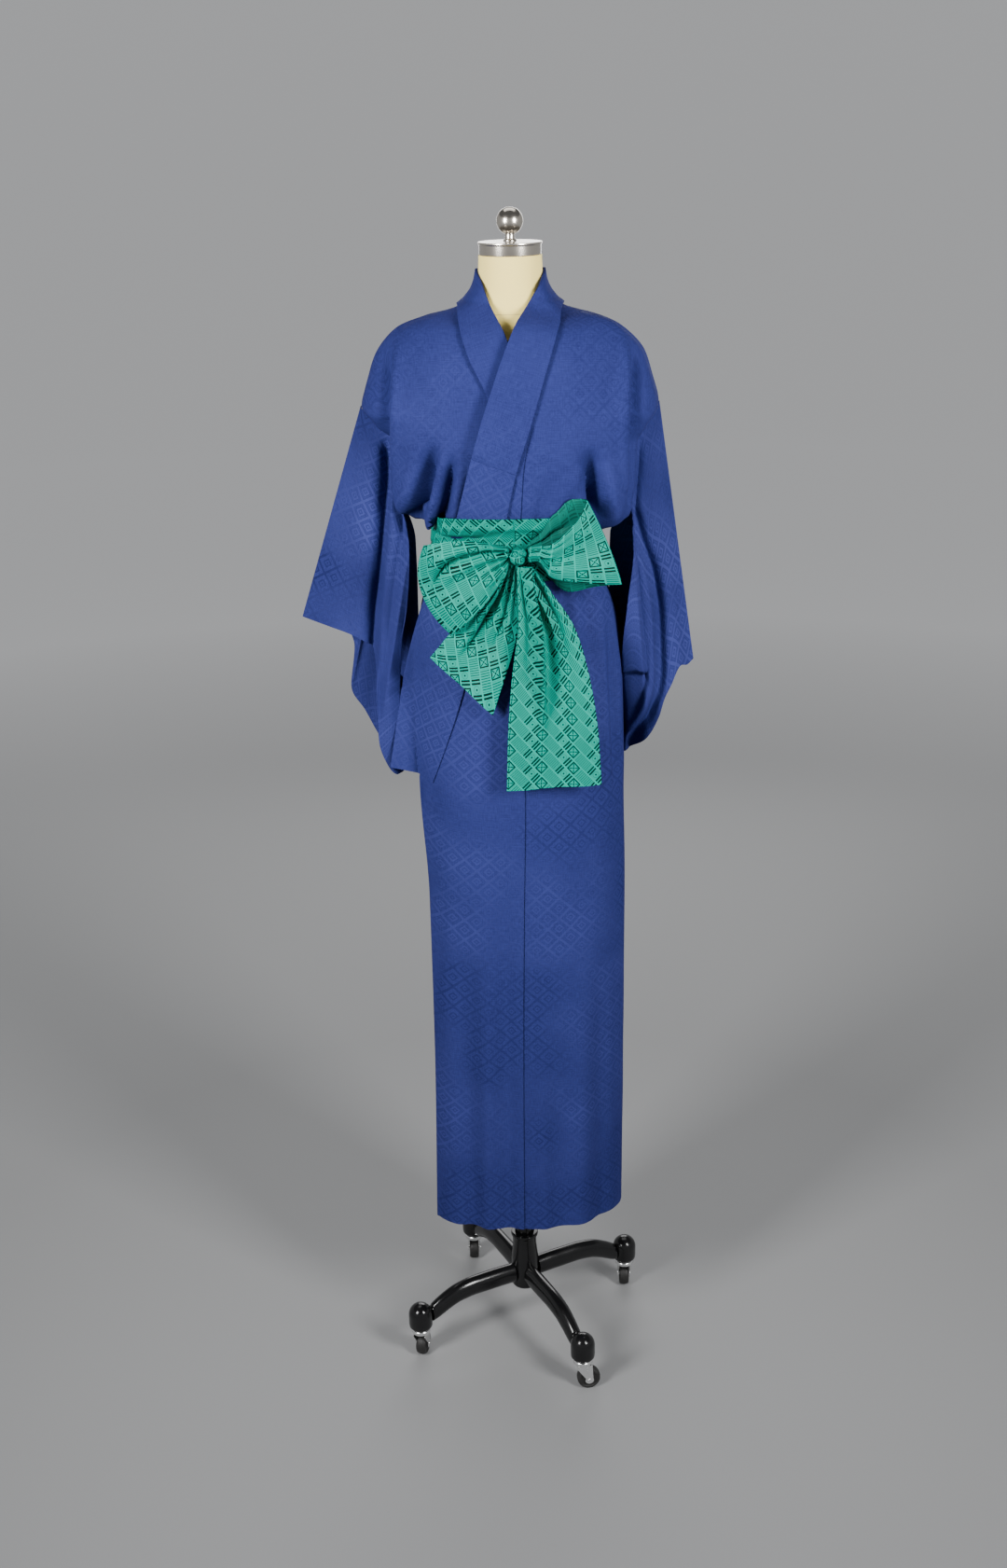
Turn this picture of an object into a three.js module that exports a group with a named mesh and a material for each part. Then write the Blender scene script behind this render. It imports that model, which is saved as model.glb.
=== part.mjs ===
// A woman's long kimono robe, worn left over right and tied at the waist with a soft sash in a front bow,
// on a limbless dress form that stands on a pole and a four-arm caster base.
// Millimetres, +Z up. The wearer's front looks along -Y and the wearer's left side is +X.
import * as THREE from 'three';

// ---------------------------------------------------------------- driving sizes
const CENTRE_SHIFT = 26;     // the pole stands this far to +X of the middle of the whole outline
const CLOTH = 1.5;           // wall of the robe's panels, cloth with its lining
const COLLAR_WALL = 2.4;     // the collar is folded double
const SASH_WALL = 1.6;
const SEAM = 0.3;            // opening left along every sewn edge
const KENSAKI_Z = 1652;      // top point of the overlap panels
const TUCK_UNDER = 8;        // panel edge that runs in under the collar
const SIDE_SEAM = 78;        // degrees round from the front centre
const SLEEVE_DEPTH = 490;    // top fold to the sewn bottom, lying flat
const ARMHOLE = 210;         // length of the sleeve that is sewn to the body
const NECK_SLOPE = 59;       // fall of the shoulder ridge over most of its width
const FRONT_REACH = 0.93;    // share of the half width past which cloth on the front hangs flat
const WRAP_REACH = 0.85;     // share of the half width past which the lower wrap doesn't go
const DEG = Math.PI / 180;

// How far out each layer lies: the collar and its strip on their panel, and the upper wrap on the lower.
const LAYER = { body: 0, collar: 3.9, wrap: 11.7, strip: 2.1 };

// Sections of the robe's envelope, from the hem up. left and right are half widths, front and back are
// half depths, and square is the exponent of the superellipse.
const SECTIONS = [
  { at: 'hem', z: 300, left: 148, right: 168, front: 141, back: 140, square: 2.4 },
  { at: 'shin', z: 600, left: 146, right: 170, front: 141, back: 140, square: 2.4 },
  { at: 'knee', z: 865, left: 146, right: 170, front: 140, back: 139, square: 2.4 },
  { at: 'thigh', z: 1040, left: 150, right: 168, front: 138, back: 139, square: 2.35 },
  { at: 'hip', z: 1190, left: 154, right: 166, front: 134, back: 138, square: 2.3 },
  { at: 'belly', z: 1340, left: 149, right: 157, front: 120, back: 122, square: 2.2 },
  { at: 'under sash', z: 1410, left: 126, right: 130, front: 102, back: 102, square: 2.15 },
  { at: 'waist', z: 1450, left: 108, right: 112, front: 93, back: 90, square: 2.1 },
  { at: 'sash top', z: 1480, left: 109, right: 114, front: 94, back: 90, square: 2.1 },
  { at: 'tuck', z: 1494, left: 140, right: 150, front: 99, back: 98, square: 2.2 },
  { at: 'lip', z: 1506, left: 168, right: 182, front: 108, back: 108, square: 2.3 },
  { at: 'blouse', z: 1535, left: 182, right: 188, front: 120, back: 116, square: 2.3 },
  { at: 'chest', z: 1610, left: 190, right: 186, front: 130, back: 114, square: 2.2 },
  { at: 'bust', z: 1640, left: 206, right: 200, front: 129, back: 112, square: 2.15 },
  { at: 'sleeve seam', z: 1664, left: 227, right: 220, front: 126, back: 110, square: 2.1 },
  { at: 'shoulder end', z: 1700, left: 217, right: 211, front: 118, back: 106, square: 2.05 },
  { at: 'shoulder', z: 1740, left: 203, right: 198, front: 105, back: 99, square: 2 },
  { at: 'shoulder top', z: 1780, left: 167, right: 157, front: 84, back: 84, square: 2 },
  { at: 'near neck', z: 1799, left: 112, right: 109, front: 69, back: 73, square: 2 },
  { at: 'neck', z: 1814, left: 74, right: 73, front: 58, back: 63, square: 2 },
];
const LIP = SECTIONS.findIndex((row) => row.at === 'lip');
const TOP = SECTIONS.length - 1;
const SEAM_Z = SECTIONS.find((row) => row.at === 'sleeve seam').z;
const LIP_Z = SECTIONS[LIP].z;

// The overlap panel: its seam and its free edge as places across the front, and how far the free edge
// stands off the layer below.
const OVERLAP = [
  { at: 'hem', z: 300, seam: -2, free: -139, stand: 36 },
  { at: 'shin', z: 650, seam: 1, free: -134, stand: 20 },
  { at: 'knee', z: 890, seam: 5, free: -135, stand: 6 },
  { at: 'collar end', z: 1092, seam: 9, free: -145, stand: 4 },
  { at: 'hip', z: 1245, seam: 8, free: -145, stand: 0 },
  { at: 'waist', z: 1450, seam: 6, free: -110, stand: 0 },
  { at: 'chest', z: 1580, seam: 12, free: -60, stand: 0 },
  { at: 'kensaki', z: KENSAKI_Z, seam: 25, free: -20, stand: 0 },
];

// The collar band from its end at the hip to the shoulder: the sewn edge, and the folded free edge.
const COLLAR = [
  { at: 'end', sewnX: -123, sewnZ: 1094, freeX: -186, freeZ: 1112 },
  { at: 'hip', sewnX: -78, sewnZ: 1245, freeX: -158, freeZ: 1268 },
  { at: 'belly', sewnX: -48, sewnZ: 1360, freeX: -126, freeZ: 1378 },
  { at: 'under sash', sewnX: -38, sewnZ: 1410, freeX: -110, freeZ: 1424 },
  { at: 'waist', sewnX: -28, sewnZ: 1450, freeX: -98, freeZ: 1464 },
  { at: 'sash top', sewnX: -20, sewnZ: 1484, freeX: -88, freeZ: 1500 },
  { at: 'lip', sewnX: -12, sewnZ: 1515, freeX: -79, freeZ: 1533 },
  { at: 'strip end', sewnX: 6, sewnZ: 1582, freeX: -60, freeZ: 1603 },
  { at: 'kensaki', sewnX: 25, sewnZ: KENSAKI_Z, freeX: -39, freeZ: 1672 },
  { at: 'breast', sewnX: 47, sewnZ: 1720, freeX: -16, freeZ: 1736 },
  { at: 'crossing', sewnX: 62, sewnZ: 1764, freeX: 2, freeZ: 1778 },
];
const STRIP_END = COLLAR.findIndex((row) => row.at === 'strip end');
const COLLAR_AT_NECK = { z: 1794, x: 71 };
// The loose end of the upper collar stands off the layers below it from this height down.
const COLLAR_END = { stand: 6, from: 1280, over: 120, turn: 0.6 };
const COLLAR_STRIP = 1.2;

// The collar where it turns over the shoulder and stands round the neck. The sewn edge is at a height and
// either a place across or an angle round from the front; the free edge is a point.
const NECK = [
  { at: 'shoulder front', sewnX: 70, sewnZ: 1790, freeX: 24, freeY: -54, freeZ: 1812 },
  { at: 'shoulder near', sewnX: 75.5, sewnZ: 1804, freeX: 42, freeY: -34, freeZ: 1840 },
  { at: 'shoulder', turn: 90, sewnZ: 1810.5, freeX: 50.5, freeY: 0, freeZ: 1858 },
  { at: 'behind', turn: 120, sewnZ: 1806, freeX: 45, freeY: 28, freeZ: 1857 },
  { at: 'nape side', turn: 150, sewnZ: 1798, freeX: 27, freeY: 48, freeZ: 1854 },
  { at: 'nape', turn: 180, sewnZ: 1785, freeX: 0, freeY: 55, freeZ: 1852 },
];

// Sleeves: one row for each fold line that runs from the armhole or its open edge down to the cuff end.
// around is the distance from the top fold, negative behind; the open edge's place is given for the rows
// below the armhole; bulge moves the middle of the line out to the side and forward.
const SLEEVES = {
  right: {
    side: -1,
    cuff: [
      { around: 0, x: 336, y: 8, z: 1338 },
      { around: 60, x: 286, y: -34, z: 1316 },
      { around: 118, x: 232, y: -50, z: 1297 },
      { around: 150, x: 214, y: -62, z: 1262 },
      { around: 185, x: 216, y: -84, z: 1212 },
      { around: 250, x: 208, y: -84, z: 1150 },
      { around: 350, x: 196, y: -62, z: 1096 },
      { around: 440, x: 200, y: -26, z: 1080 },
      { around: -440, x: 210, y: 6, z: 1082 },
      { around: -350, x: 226, y: 24, z: 1112 },
      { around: -250, x: 250, y: 24, z: 1180 },
      { around: -185, x: 262, y: 20, z: 1222 },
      { around: -118, x: 276, y: 36, z: 1262 },
      { around: -60, x: 304, y: 32, z: 1304 },
    ],
    open: [
      { around: 250, x: 162, y: -62, z: 1470 },
      { around: 350, x: 164, y: -68, z: 1368 },
      { around: 440, x: 176, y: -52, z: 1268 },
      { around: -440, x: 158, y: 14, z: 1262 },
      { around: -350, x: 151, y: 42, z: 1368 },
      { around: -250, x: 158, y: 52, z: 1470 },
    ],
  },
  left: {
    side: 1,
    cuff: [
      { around: 0, x: 281, y: 0, z: 1258 },
      { around: 60, x: 262, y: -24, z: 1247 },
      { around: 118, x: 242, y: -32, z: 1222 },
      { around: 150, x: 232, y: -44, z: 1196 },
      { around: 185, x: 226, y: -64, z: 1172 },
      { around: 250, x: 208, y: -62, z: 1138 },
      { around: 350, x: 186, y: -44, z: 1108 },
      { around: 440, x: 178, y: -20, z: 1098 },
      { around: -440, x: 182, y: 4, z: 1100 },
      { around: -350, x: 202, y: 20, z: 1124 },
      { around: -250, x: 226, y: 28, z: 1160 },
      { around: -185, x: 238, y: 28, z: 1186 },
      { around: -118, x: 250, y: 34, z: 1216 },
      { around: -60, x: 266, y: 26, z: 1244 },
    ],
    open: [
      { around: 250, x: 186, y: -60, z: 1464 },
      { around: 350, x: 184, y: -70, z: 1362 },
      { around: 440, x: 180, y: -54, z: 1262 },
      { around: -440, x: 178, y: 22, z: 1256 },
      { around: -350, x: 171, y: 50, z: 1362 },
      { around: -250, x: 164, y: 56, z: 1464 },
    ],
  },
};
// The deep fold in front of the arm, by its distance round from the top fold, and the soft roll below it.
const VALLEY = { at: 135, width: 34, depth: 16 };
const ROLL = { at: 205, width: 50, depth: 14 };

// The sash and its bow. Each ribbon is a row of stations: its middle, and the half width as a vector.
// The sash stands off the robe by lift, and by over more in front, where the layers and the bow lie.
const SASH = { bottom: 1418, topFront: 1504, topSide: 1484, lift: 4.7, over: 16.6, slack: 1.2 };
const SASH_ROWS = 4;
const SASH_COLUMNS = 30;
const RIBBONS = {
  bow_loop_right: [
    { x: -13.6, y: -151, z: 1465, wx: 0, wy: -2, wz: 12, bend: 0 },
    { x: -34, y: -164, z: 1451, wx: -2, wy: -3, wz: 25, bend: 0 },
    { x: -72, y: -172, z: 1424, wx: -7, wy: -4, wz: 50, bend: -4 },
    { x: -106, y: -162, z: 1411, wx: -17, wy: -4, wz: 63, bend: -14 },
    { x: -121, y: -149, z: 1409, wx: -22, wy: -2, wz: 66, bend: -22 },
    { x: -104, y: -140, z: 1412, wx: -18, wy: 0, wz: 60, bend: -14 },
    { x: -68, y: -138, z: 1428, wx: -8, wy: 0, wz: 42, bend: -4 },
    { x: -34, y: -137, z: 1452, wx: -2, wy: 0, wz: 22, bend: 0 },
    { x: -13.6, y: -137, z: 1465, wx: 0, wy: 0, wz: 11, bend: 0 },
  ],
  bow_loop_left: [
    { x: 19.2, y: -147, z: 1466, wx: 0, wy: 0, wz: 12, bend: 0 },
    { x: 36, y: -160, z: 1463, wx: 1, wy: -2, wz: 24, bend: 0 },
    { x: 58, y: -168, z: 1459, wx: 2, wy: -4, wz: 43, bend: 0 },
    { x: 96, y: -161, z: 1468, wx: -9, wy: -6, wz: 58, bend: 2 },
    { x: 125, y: -141, z: 1477, wx: -18, wy: -6, wz: 66, bend: 5 },
    { x: 104, y: -131, z: 1482, wx: -18, wy: -3, wz: 58, bend: 2 },
    { x: 66, y: -131, z: 1482, wx: -14, wy: 0, wz: 40, bend: 0 },
    { x: 38, y: -131, z: 1474, wx: -6, wy: 0, wz: 24, bend: 0 },
    { x: 19.2, y: -131, z: 1468, wx: 0, wy: 0, wz: 11, bend: 0 },
  ],
  bow_tail_right: [
    { x: -7, y: -134, z: 1445.4, wx: -11, wy: 2, wz: 2, bend: 0 },
    { x: -22, y: -136, z: 1405, wx: -26, wy: 6, wz: 8, bend: 0 },
    { x: -44, y: -140, z: 1352, wx: -46, wy: 10, wz: 20, bend: 0 },
    { x: -66, y: -150, z: 1305, wx: -48, wy: 13, wz: 34, bend: 0 },
    { x: -86, y: -156, z: 1264, wx: -46, wy: 8, wz: 42, bend: 0 },
  ],
  bow_tail_left: [
    { x: 13, y: -146, z: 1443.9, wx: 11, wy: 0, wz: 0, bend: 0 },
    { x: 27, y: -160, z: 1410, wx: 24, wy: 0, wz: 3, bend: 0 },
    { x: 42, y: -168, z: 1355, wx: 43, wy: 2, wz: 3, bend: 2 },
    { x: 50, y: -170, z: 1280, wx: 57, wy: 3, wz: 0, bend: 3 },
    { x: 54, y: -172, z: 1190, wx: 66, wy: 4, wz: 2, bend: 2 },
    { x: 55, y: -174, z: 1109, wx: 71, wy: 5, wz: 3, bend: 0 },
  ],
};
const RIBBON_WAVE = 2.5;
const KNOT = { x: 3, y: -140, z: 1462, across: 16.5, deep: 24.7, high: 18.5 };

// The dress form: half widths and depths of its sections, with no arms and a plain flat underside.
const FORM = [
  { at: 'underside', z: 1098, side: 118, front: 92, back: 96 },
  { at: 'lower edge', z: 1108, side: 128, front: 102, back: 104 },
  { at: 'hip', z: 1200, side: 140, front: 112, back: 118 },
  { at: 'high hip', z: 1290, side: 133, front: 108, back: 112 },
  { at: 'belly', z: 1370, side: 115, front: 95, back: 94 },
  { at: 'waist', z: 1450, side: 100, front: 84, back: 80 },
  { at: 'ribs', z: 1530, side: 112, front: 94, back: 88 },
  { at: 'chest', z: 1620, side: 134, front: 112, back: 98 },
  { at: 'upper chest', z: 1690, side: 148, front: 102, back: 94 },
  { at: 'shoulder end', z: 1740, side: 158, front: 84, back: 82 },
  { at: 'shoulder', z: 1765, side: 148, front: 72, back: 71 },
  { at: 'shoulder top', z: 1786, side: 122, front: 61, back: 60 },
  { at: 'near neck', z: 1800, side: 88, front: 54, back: 56 },
  { at: 'neck base', z: 1814, side: 60, front: 50, back: 52 },
  { at: 'neck', z: 1834, side: 49.5, front: 48, back: 49 },
  { at: 'neck middle', z: 1856, side: 47.5, front: 47, back: 47 },
  { at: 'neck top', z: 1879.7, side: 46.5, front: 46.5, back: 46.5 },
];
const CAP = { z: 1880, high: 18, r: 45.8, rimR: 47.3, rimHigh: 3 };
const BALL = { z: 1927, r: 19.6, stemR: 6.5, stemFootR: 10, stemFootHigh: 2, stemTaper: 2 };

// The stand.
const TUBE = { outer: 16, bore: 13.2, bottom: 84, top: 620 };
const POLE = { r: 12.7, bottom: 440, flangeR: 60, flangeHigh: 6 };
const HUB = { r: 24, bottom: 82, top: 192, waistR: 21, waist: [140, 168, 184, 186] };
const LOCK = { r: 23, bottom: 604, top: 636 };
const SCREW = { r: 9, long: 26, shankR: 4, shank: 8, shoulder: 2, above: 12 };
const BASE = { arms: 4, r: 210, turn: 27.15 - 90, armHigh: 18, armWide: 14.5 };
const ARM_LINE = [
  { r: 24.4, z: 111, size: 1 },
  { r: 60, z: 112, size: 1 },
  { r: 100, z: 112, size: 0.98 },
  { r: 134, z: 108, size: 0.95 },
  { r: 160, z: 98, size: 0.9 },
  { r: 178, z: 88, size: 0.85 },
  { r: 189, z: 82, size: 0.8 },
];
const KNOB = { r: 21, bottom: 62.5, shoulder: 88, top: 109, bevelWide: 3, bevelHigh: 4 };
const WHEEL = { r: 20, wide: 17, bore: 3.4, sides: 24, trail: 10, pin: 3 };
const TYRE = { cheek: 5, shoulder: 1.5, shoulderWide: 2, tread: 3 };
const FORK = { top: 62.2, roof: 2.5, inner: 19.4, plate: 1.6, long: 30, foot: 13, below: 7 };
const CASTER_TURN = [8, 90, 92, 75];   // direction in which each wheel trails, in degrees from +X

// ---------------------------------------------------------------- finishes
function finish(color, roughness, metalness = 0) {
  return new THREE.MeshStandardMaterial({ color, roughness, metalness });
}
const BLUE_SILK = () => finish(0x2c4596, 0.55);
const GREEN_SILK = () => finish(0x2fb590, 0.5);
const CREAM_LINEN = () => finish(0xe9e0c3, 0.85);
const STEEL = () => finish(0xb9b9b6, 0.3, 1);
const BLACK_PAINT = () => finish(0x0b0b0c, 0.25);
const CHROME = () => finish(0xc9c9c9, 0.15, 1);
const RUBBER = () => finish(0x19191a, 0.6);

const root = new THREE.Group();
root.name = 'kimono_on_form';
const part = new THREE.Group();
part.position.x = CENTRE_SHIFT;
root.add(part);

function add(name, geometry, material) {
  const mesh = new THREE.Mesh(geometry, material);
  mesh.name = name;
  part.add(mesh);
  return mesh;
}

// ---------------------------------------------------------------- curves through tables
// A monotone cubic through the points (xs, ys): smooth, and never beyond its neighbours' values.
function smooth(xs, ys) {
  const rise = xs.slice(1).map((x, i) => (ys[i + 1] - ys[i]) / (x - xs[i]));
  const slope = xs.map((_, i) => {
    const before = rise[i - 1] ?? rise[i];
    const after = rise[i] ?? rise[i - 1];
    return before * after <= 0 ? 0 : (2 * before * after) / (before + after);
  });
  return (x) => {
    let i = 0;
    while (i < xs.length - 2 && x > xs[i + 1]) i += 1;
    const h = xs[i + 1] - xs[i];
    const t = Math.min(1, Math.max(0, (x - xs[i]) / h));
    const t2 = t * t;
    const t3 = t2 * t;
    return (2 * t3 - 3 * t2 + 1) * ys[i] + (t3 - 2 * t2 + t) * h * slope[i]
      + (3 * t2 - 2 * t3) * ys[i + 1] + (t3 - t2) * h * slope[i + 1];
  };
}
// One such curve for each named column of a table.
const columns = (rows, by, keys) => Object.fromEntries(
  keys.map((key) => [key, smooth(rows.map(by), rows.map((row) => row[key]))]));
const mix = (a, b, t) => a + (b - a) * t;
const ease = (t) => {
  const c = Math.min(1, Math.max(0, t));
  return c * c * (3 - 2 * c);
};
const steps = (from, to, count) => Array.from({ length: count + 1 }, (_, i) => mix(from, to, i / count));
const vec = (x, y, z) => new THREE.Vector3(x, y, z);

// ---------------------------------------------------------------- closed bodies from grids
// Closes two equal grids of points, the outer and the inner face of a wall, along their free edges.
function closeWall(outer, inner, loop) {
  const rows = outer.length;
  const cols = outer[0].length;
  const points = [...outer.flat(), ...inner.flat()];
  const at = (face, r, c) => face * rows * cols + r * cols + (c % cols);
  const index = [];
  const quad = (a, b, c, d) => index.push(a, b, c, a, c, d);
  const last = loop ? cols : cols - 1;
  for (let r = 0; r < rows - 1; r += 1) {
    for (let c = 0; c < last; c += 1) {
      quad(at(0, r, c), at(0, r, c + 1), at(0, r + 1, c + 1), at(0, r + 1, c));
      quad(at(1, r, c), at(1, r + 1, c), at(1, r + 1, c + 1), at(1, r, c + 1));
    }
  }
  for (let c = 0; c < last; c += 1) {
    quad(at(0, 0, c), at(1, 0, c), at(1, 0, c + 1), at(0, 0, c + 1));
    quad(at(0, rows - 1, c), at(0, rows - 1, c + 1), at(1, rows - 1, c + 1), at(1, rows - 1, c));
  }
  if (!loop) {
    for (let r = 0; r < rows - 1; r += 1) {
      quad(at(0, r, 0), at(0, r + 1, 0), at(1, r + 1, 0), at(1, r, 0));
      quad(at(0, r, cols - 1), at(1, r, cols - 1), at(1, r + 1, cols - 1), at(0, r + 1, cols - 1));
    }
  }
  return solid(points, index);
}

// A geometry from points and triangles, turned so that its faces point outward.
function solid(points, index) {
  let volume = 0;
  for (let i = 0; i < index.length; i += 3) {
    const [a, b, c] = [points[index[i]], points[index[i + 1]], points[index[i + 2]]];
    volume += a.dot(b.clone().cross(c));
  }
  const faces = volume > 0 ? index : index.slice().reverse();
  const geometry = new THREE.BufferGeometry().setFromPoints(points);
  geometry.setIndex(faces);
  return geometry;
}

// The surface direction at each point of a grid, from its neighbours; a negative sense turns it round.
function normals(grid, loop, sense = 1) {
  const rows = grid.length;
  const cols = grid[0].length;
  return grid.map((row, r) => row.map((_, c) => {
    const up = grid[Math.min(r + 1, rows - 1)][c].clone().sub(grid[Math.max(r - 1, 0)][c]);
    const next = loop ? (c + 1) % cols : Math.min(c + 1, cols - 1);
    const previous = loop ? (c + cols - 1) % cols : Math.max(c - 1, 0);
    const along = row[next].clone().sub(row[previous]);
    return along.cross(up).normalize().multiplyScalar(sense);
  }));
}
const moved = (grid, direction, distance) => grid.map((row, r) => row.map(
  (point, c) => point.clone().addScaledVector(direction[r][c], distance)));

// A cloth wall of the given thickness about a grid, moved out by lift.
function wall(grid, thickness, { loop = false, sense = 1, lift = 0 } = {}) {
  const direction = normals(grid, loop, sense);
  const outer = moved(grid, direction, lift + thickness / 2);
  const inner = moved(grid, direction, lift - thickness / 2);
  return closeWall(outer, inner, loop);
}

// A closed body through rings of points, with a flat cap at each end.
function loft(rings) {
  const count = rings[0].length;
  const points = rings.flat();
  const index = [];
  for (let r = 0; r < rings.length - 1; r += 1) {
    for (let c = 0; c < count; c += 1) {
      const d = (c + 1) % count;
      index.push(r * count + c, r * count + d, (r + 1) * count + d);
      index.push(r * count + c, (r + 1) * count + d, (r + 1) * count + c);
    }
  }
  const cap = (ring, turned) => {
    const middle = ring.reduce((sum, p) => sum.add(p), vec(0, 0, 0)).divideScalar(count);
    const centre = points.push(middle) - 1;
    const start = turned ? 0 : (rings.length - 1) * count;
    for (let c = 0; c < count; c += 1) {
      const d = (c + 1) % count;
      index.push(...(turned ? [start + d, start + c, centre] : [start + c, start + d, centre]));
    }
  };
  cap(rings[0], true);
  cap(rings[rings.length - 1], false);
  return solid(points, index);
}

// A turned body about +Z from a closed outline of [radius, height] pairs.
function turned(outline, sides = 24) {
  const geometry = new THREE.LatheGeometry(outline.map(([r, z]) => new THREE.Vector2(r, z)), sides);
  geometry.rotateX(Math.PI / 2);
  return geometry;
}

// ---------------------------------------------------------------- the robe's envelope
const sectionOf = columns(SECTIONS, (_, i) => i, ['z', 'left', 'right', 'front', 'back', 'square']);

// The section number at height z, found by halving.
function level(z) {
  let low = 0;
  let high = TOP;
  for (let i = 0; i < 40; i += 1) {
    const middle = (low + high) / 2;
    if (sectionOf.z(middle) < z) low = middle;
    else high = middle;
  }
  return (low + high) / 2;
}

// A point of the envelope: angle phi round from the front centre towards +X, and section number v.
function envelope(phi, v) {
  const s = Math.sin(phi);
  const c = Math.cos(phi);
  const wide = s > 0 ? sectionOf.right(v) : sectionOf.left(v);
  const deep = c > 0 ? sectionOf.front(v) : sectionOf.back(v);
  const power = sectionOf.square(v);
  const r = (Math.abs(s) ** power + Math.abs(c) ** power) ** (-1 / power);
  return vec(wide * r * s, -deep * r * c, sectionOf.z(v));
}

function lifted(phi, v, lift) {
  const step = 1e-3;
  const low = Math.max(0, v - step);
  const high = Math.min(TOP, v + step);
  const round = envelope(phi + step, v).sub(envelope(phi - step, v));
  const up = envelope(phi, high).sub(envelope(phi, low));
  return envelope(phi, v).addScaledVector(round.cross(up).normalize(), lift);
}

// The angle at which the envelope's front has the place x across it.
function angleAt(x, v) {
  const wide = x > 0 ? sectionOf.right(v) : sectionOf.left(v);
  const power = sectionOf.square(v);
  const q = Math.min(0.9999, Math.abs(x) / wide);
  return Math.sign(x) * Math.atan2(q, (1 - q ** power) ** (1 / power));
}

// A point on the front at (x, z), lifted off it. Far out towards the side the cloth hangs flat.
function frontPoint(x, z, lift) {
  const v = level(z);
  const wide = x > 0 ? sectionOf.right(v) : sectionOf.left(v);
  const held = Math.sign(x) * Math.min(Math.abs(x), FRONT_REACH * wide);
  const point = lifted(angleAt(held, v), v, lift);
  return vec(point.x + x - held, point.y, point.z);
}

// A point on the lower wrap at (x, z): it keeps to the envelope and stays short of the side.
function wrappedPoint(x, z, lift) {
  const v = level(z);
  const held = Math.sign(x) * Math.min(Math.abs(x), WRAP_REACH * sectionOf.left(v));
  return lifted(angleAt(held, v), v, lift);
}

// ---------------------------------------------------------------- the robe
const overlapAt = columns(OVERLAP, (row) => row.z, ['seam', 'free', 'stand']);
const NECK_Z = SECTIONS[TOP].z;
const NECK_X = SECTIONS[TOP].right;
const collarSewn = [...COLLAR.map((row) => [row.sewnZ, row.sewnX]),
  [COLLAR_AT_NECK.z, COLLAR_AT_NECK.x], [NECK_Z, NECK_X]];
const collarSewnX = smooth(collarSewn.map(([z]) => z), collarSewn.map(([, x]) => x));

const BODY_COLUMNS = 8;
const LOW_ROWS = [0, 1.5, 3, 4, 4.5, 5, 5.5, 6, 6.6, 7.2, 8, 8.5, 9, 9.5, 10];
const HIGH_ROWS = [0.08, 0.2, 0.31, 0.42, 0.54, 0.7, 0.82, 0.9, 0.955, 0.985, 1];
const EDGE_HALF_GAP = 0.25;

// The height on the shoulder ridge at w across it, from the neck point out to the sleeve seam.
const ridgeZ = (w) => NECK_Z - NECK_SLOPE * w - (NECK_Z - SEAM_Z - NECK_SLOPE) * w ** 8;
const highZ = (p, w) => mix(LIP_Z, ridgeZ(w), p);

// The lift of the upper wrap: full across the front, gone at the side seam and at the neck.
const WRAP_FADE = { below: 2, over: 45, angle: 82, turn: 22 };
const wrapRise = (z) => LAYER.wrap * ease((NECK_Z - WRAP_FADE.below - z) / WRAP_FADE.over);
const wrapLift = (phi, z) => wrapRise(z) * ease((WRAP_FADE.angle - Math.abs(phi) / DEG) / WRAP_FADE.turn);

// The place across the front where a body panel's inner edge runs: the overlap seam, then beneath the collar.
function innerX(z) {
  if (z < KENSAKI_Z) return overlapAt.seam(z);
  return collarSewnX(z) - TUCK_UNDER * ease((NECK_Z - 8 - z) / 40);
}

// One length of cloth: up the front, over the shoulder and down the back, in rows across its width.
function bodyGrid(side) {
  const sideAngle = (z) => mix(SIDE_SEAM, 90, ease((z - LIP_Z) / (SEAM_Z - LIP_Z))) * DEG;
  const neckTurn = smooth([1790, 1797, 1804, 1810, NECK_Z], [180, 168, 148, 120, 90]);
  const outer = (v, z, behind) => {
    const wide = side > 0 ? sectionOf.right(v) : sectionOf.left(v);
    const gap = (EDGE_HALF_GAP / wide) * (behind ? 1 : -1);
    const angle = behind && z > LIP_Z ? Math.PI - sideAngle(z) : sideAngle(z);
    return side * (angle + gap);
  };
  const frontInner = (v, z) => angleAt(side * (innerX(z) + EDGE_HALF_GAP), v);
  const backInner = (v, z) => side * (neckTurn(z) * DEG - EDGE_HALF_GAP / sectionOf.back(v));
  const place = (phi, v, z, behind) => lifted(phi, v, side > 0 && !behind ? wrapLift(phi, z) : LAYER.body);
  const across = steps(0, 1, BODY_COLUMNS - 1);
  const low = (v, behind) => {
    const z = sectionOf.z(v);
    const from = behind ? backInner(v, z) : frontInner(v, z);
    return across.map((w) => place(mix(from, outer(v, z, behind), w), v, z, behind));
  };
  const high = (p, behind) => across.map((w) => {
    const z = highZ(p, w);
    const v = level(z);
    const from = behind ? backInner(v, z) : frontInner(v, z);
    const to = p === 1 ? side * 90 * DEG : outer(v, z, behind);
    return place(mix(from, to, w ** (1 - p)), v, z, behind);
  });
  return [
    ...LOW_ROWS.map((v) => low(v, false)),
    ...HIGH_ROWS.map((p) => high(p, false)),
    ...HIGH_ROWS.slice(0, -1).reverse().map((p) => high(p, true)),
    ...LOW_ROWS.slice().reverse().map((v) => low(v, true)),
  ];
}

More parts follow.
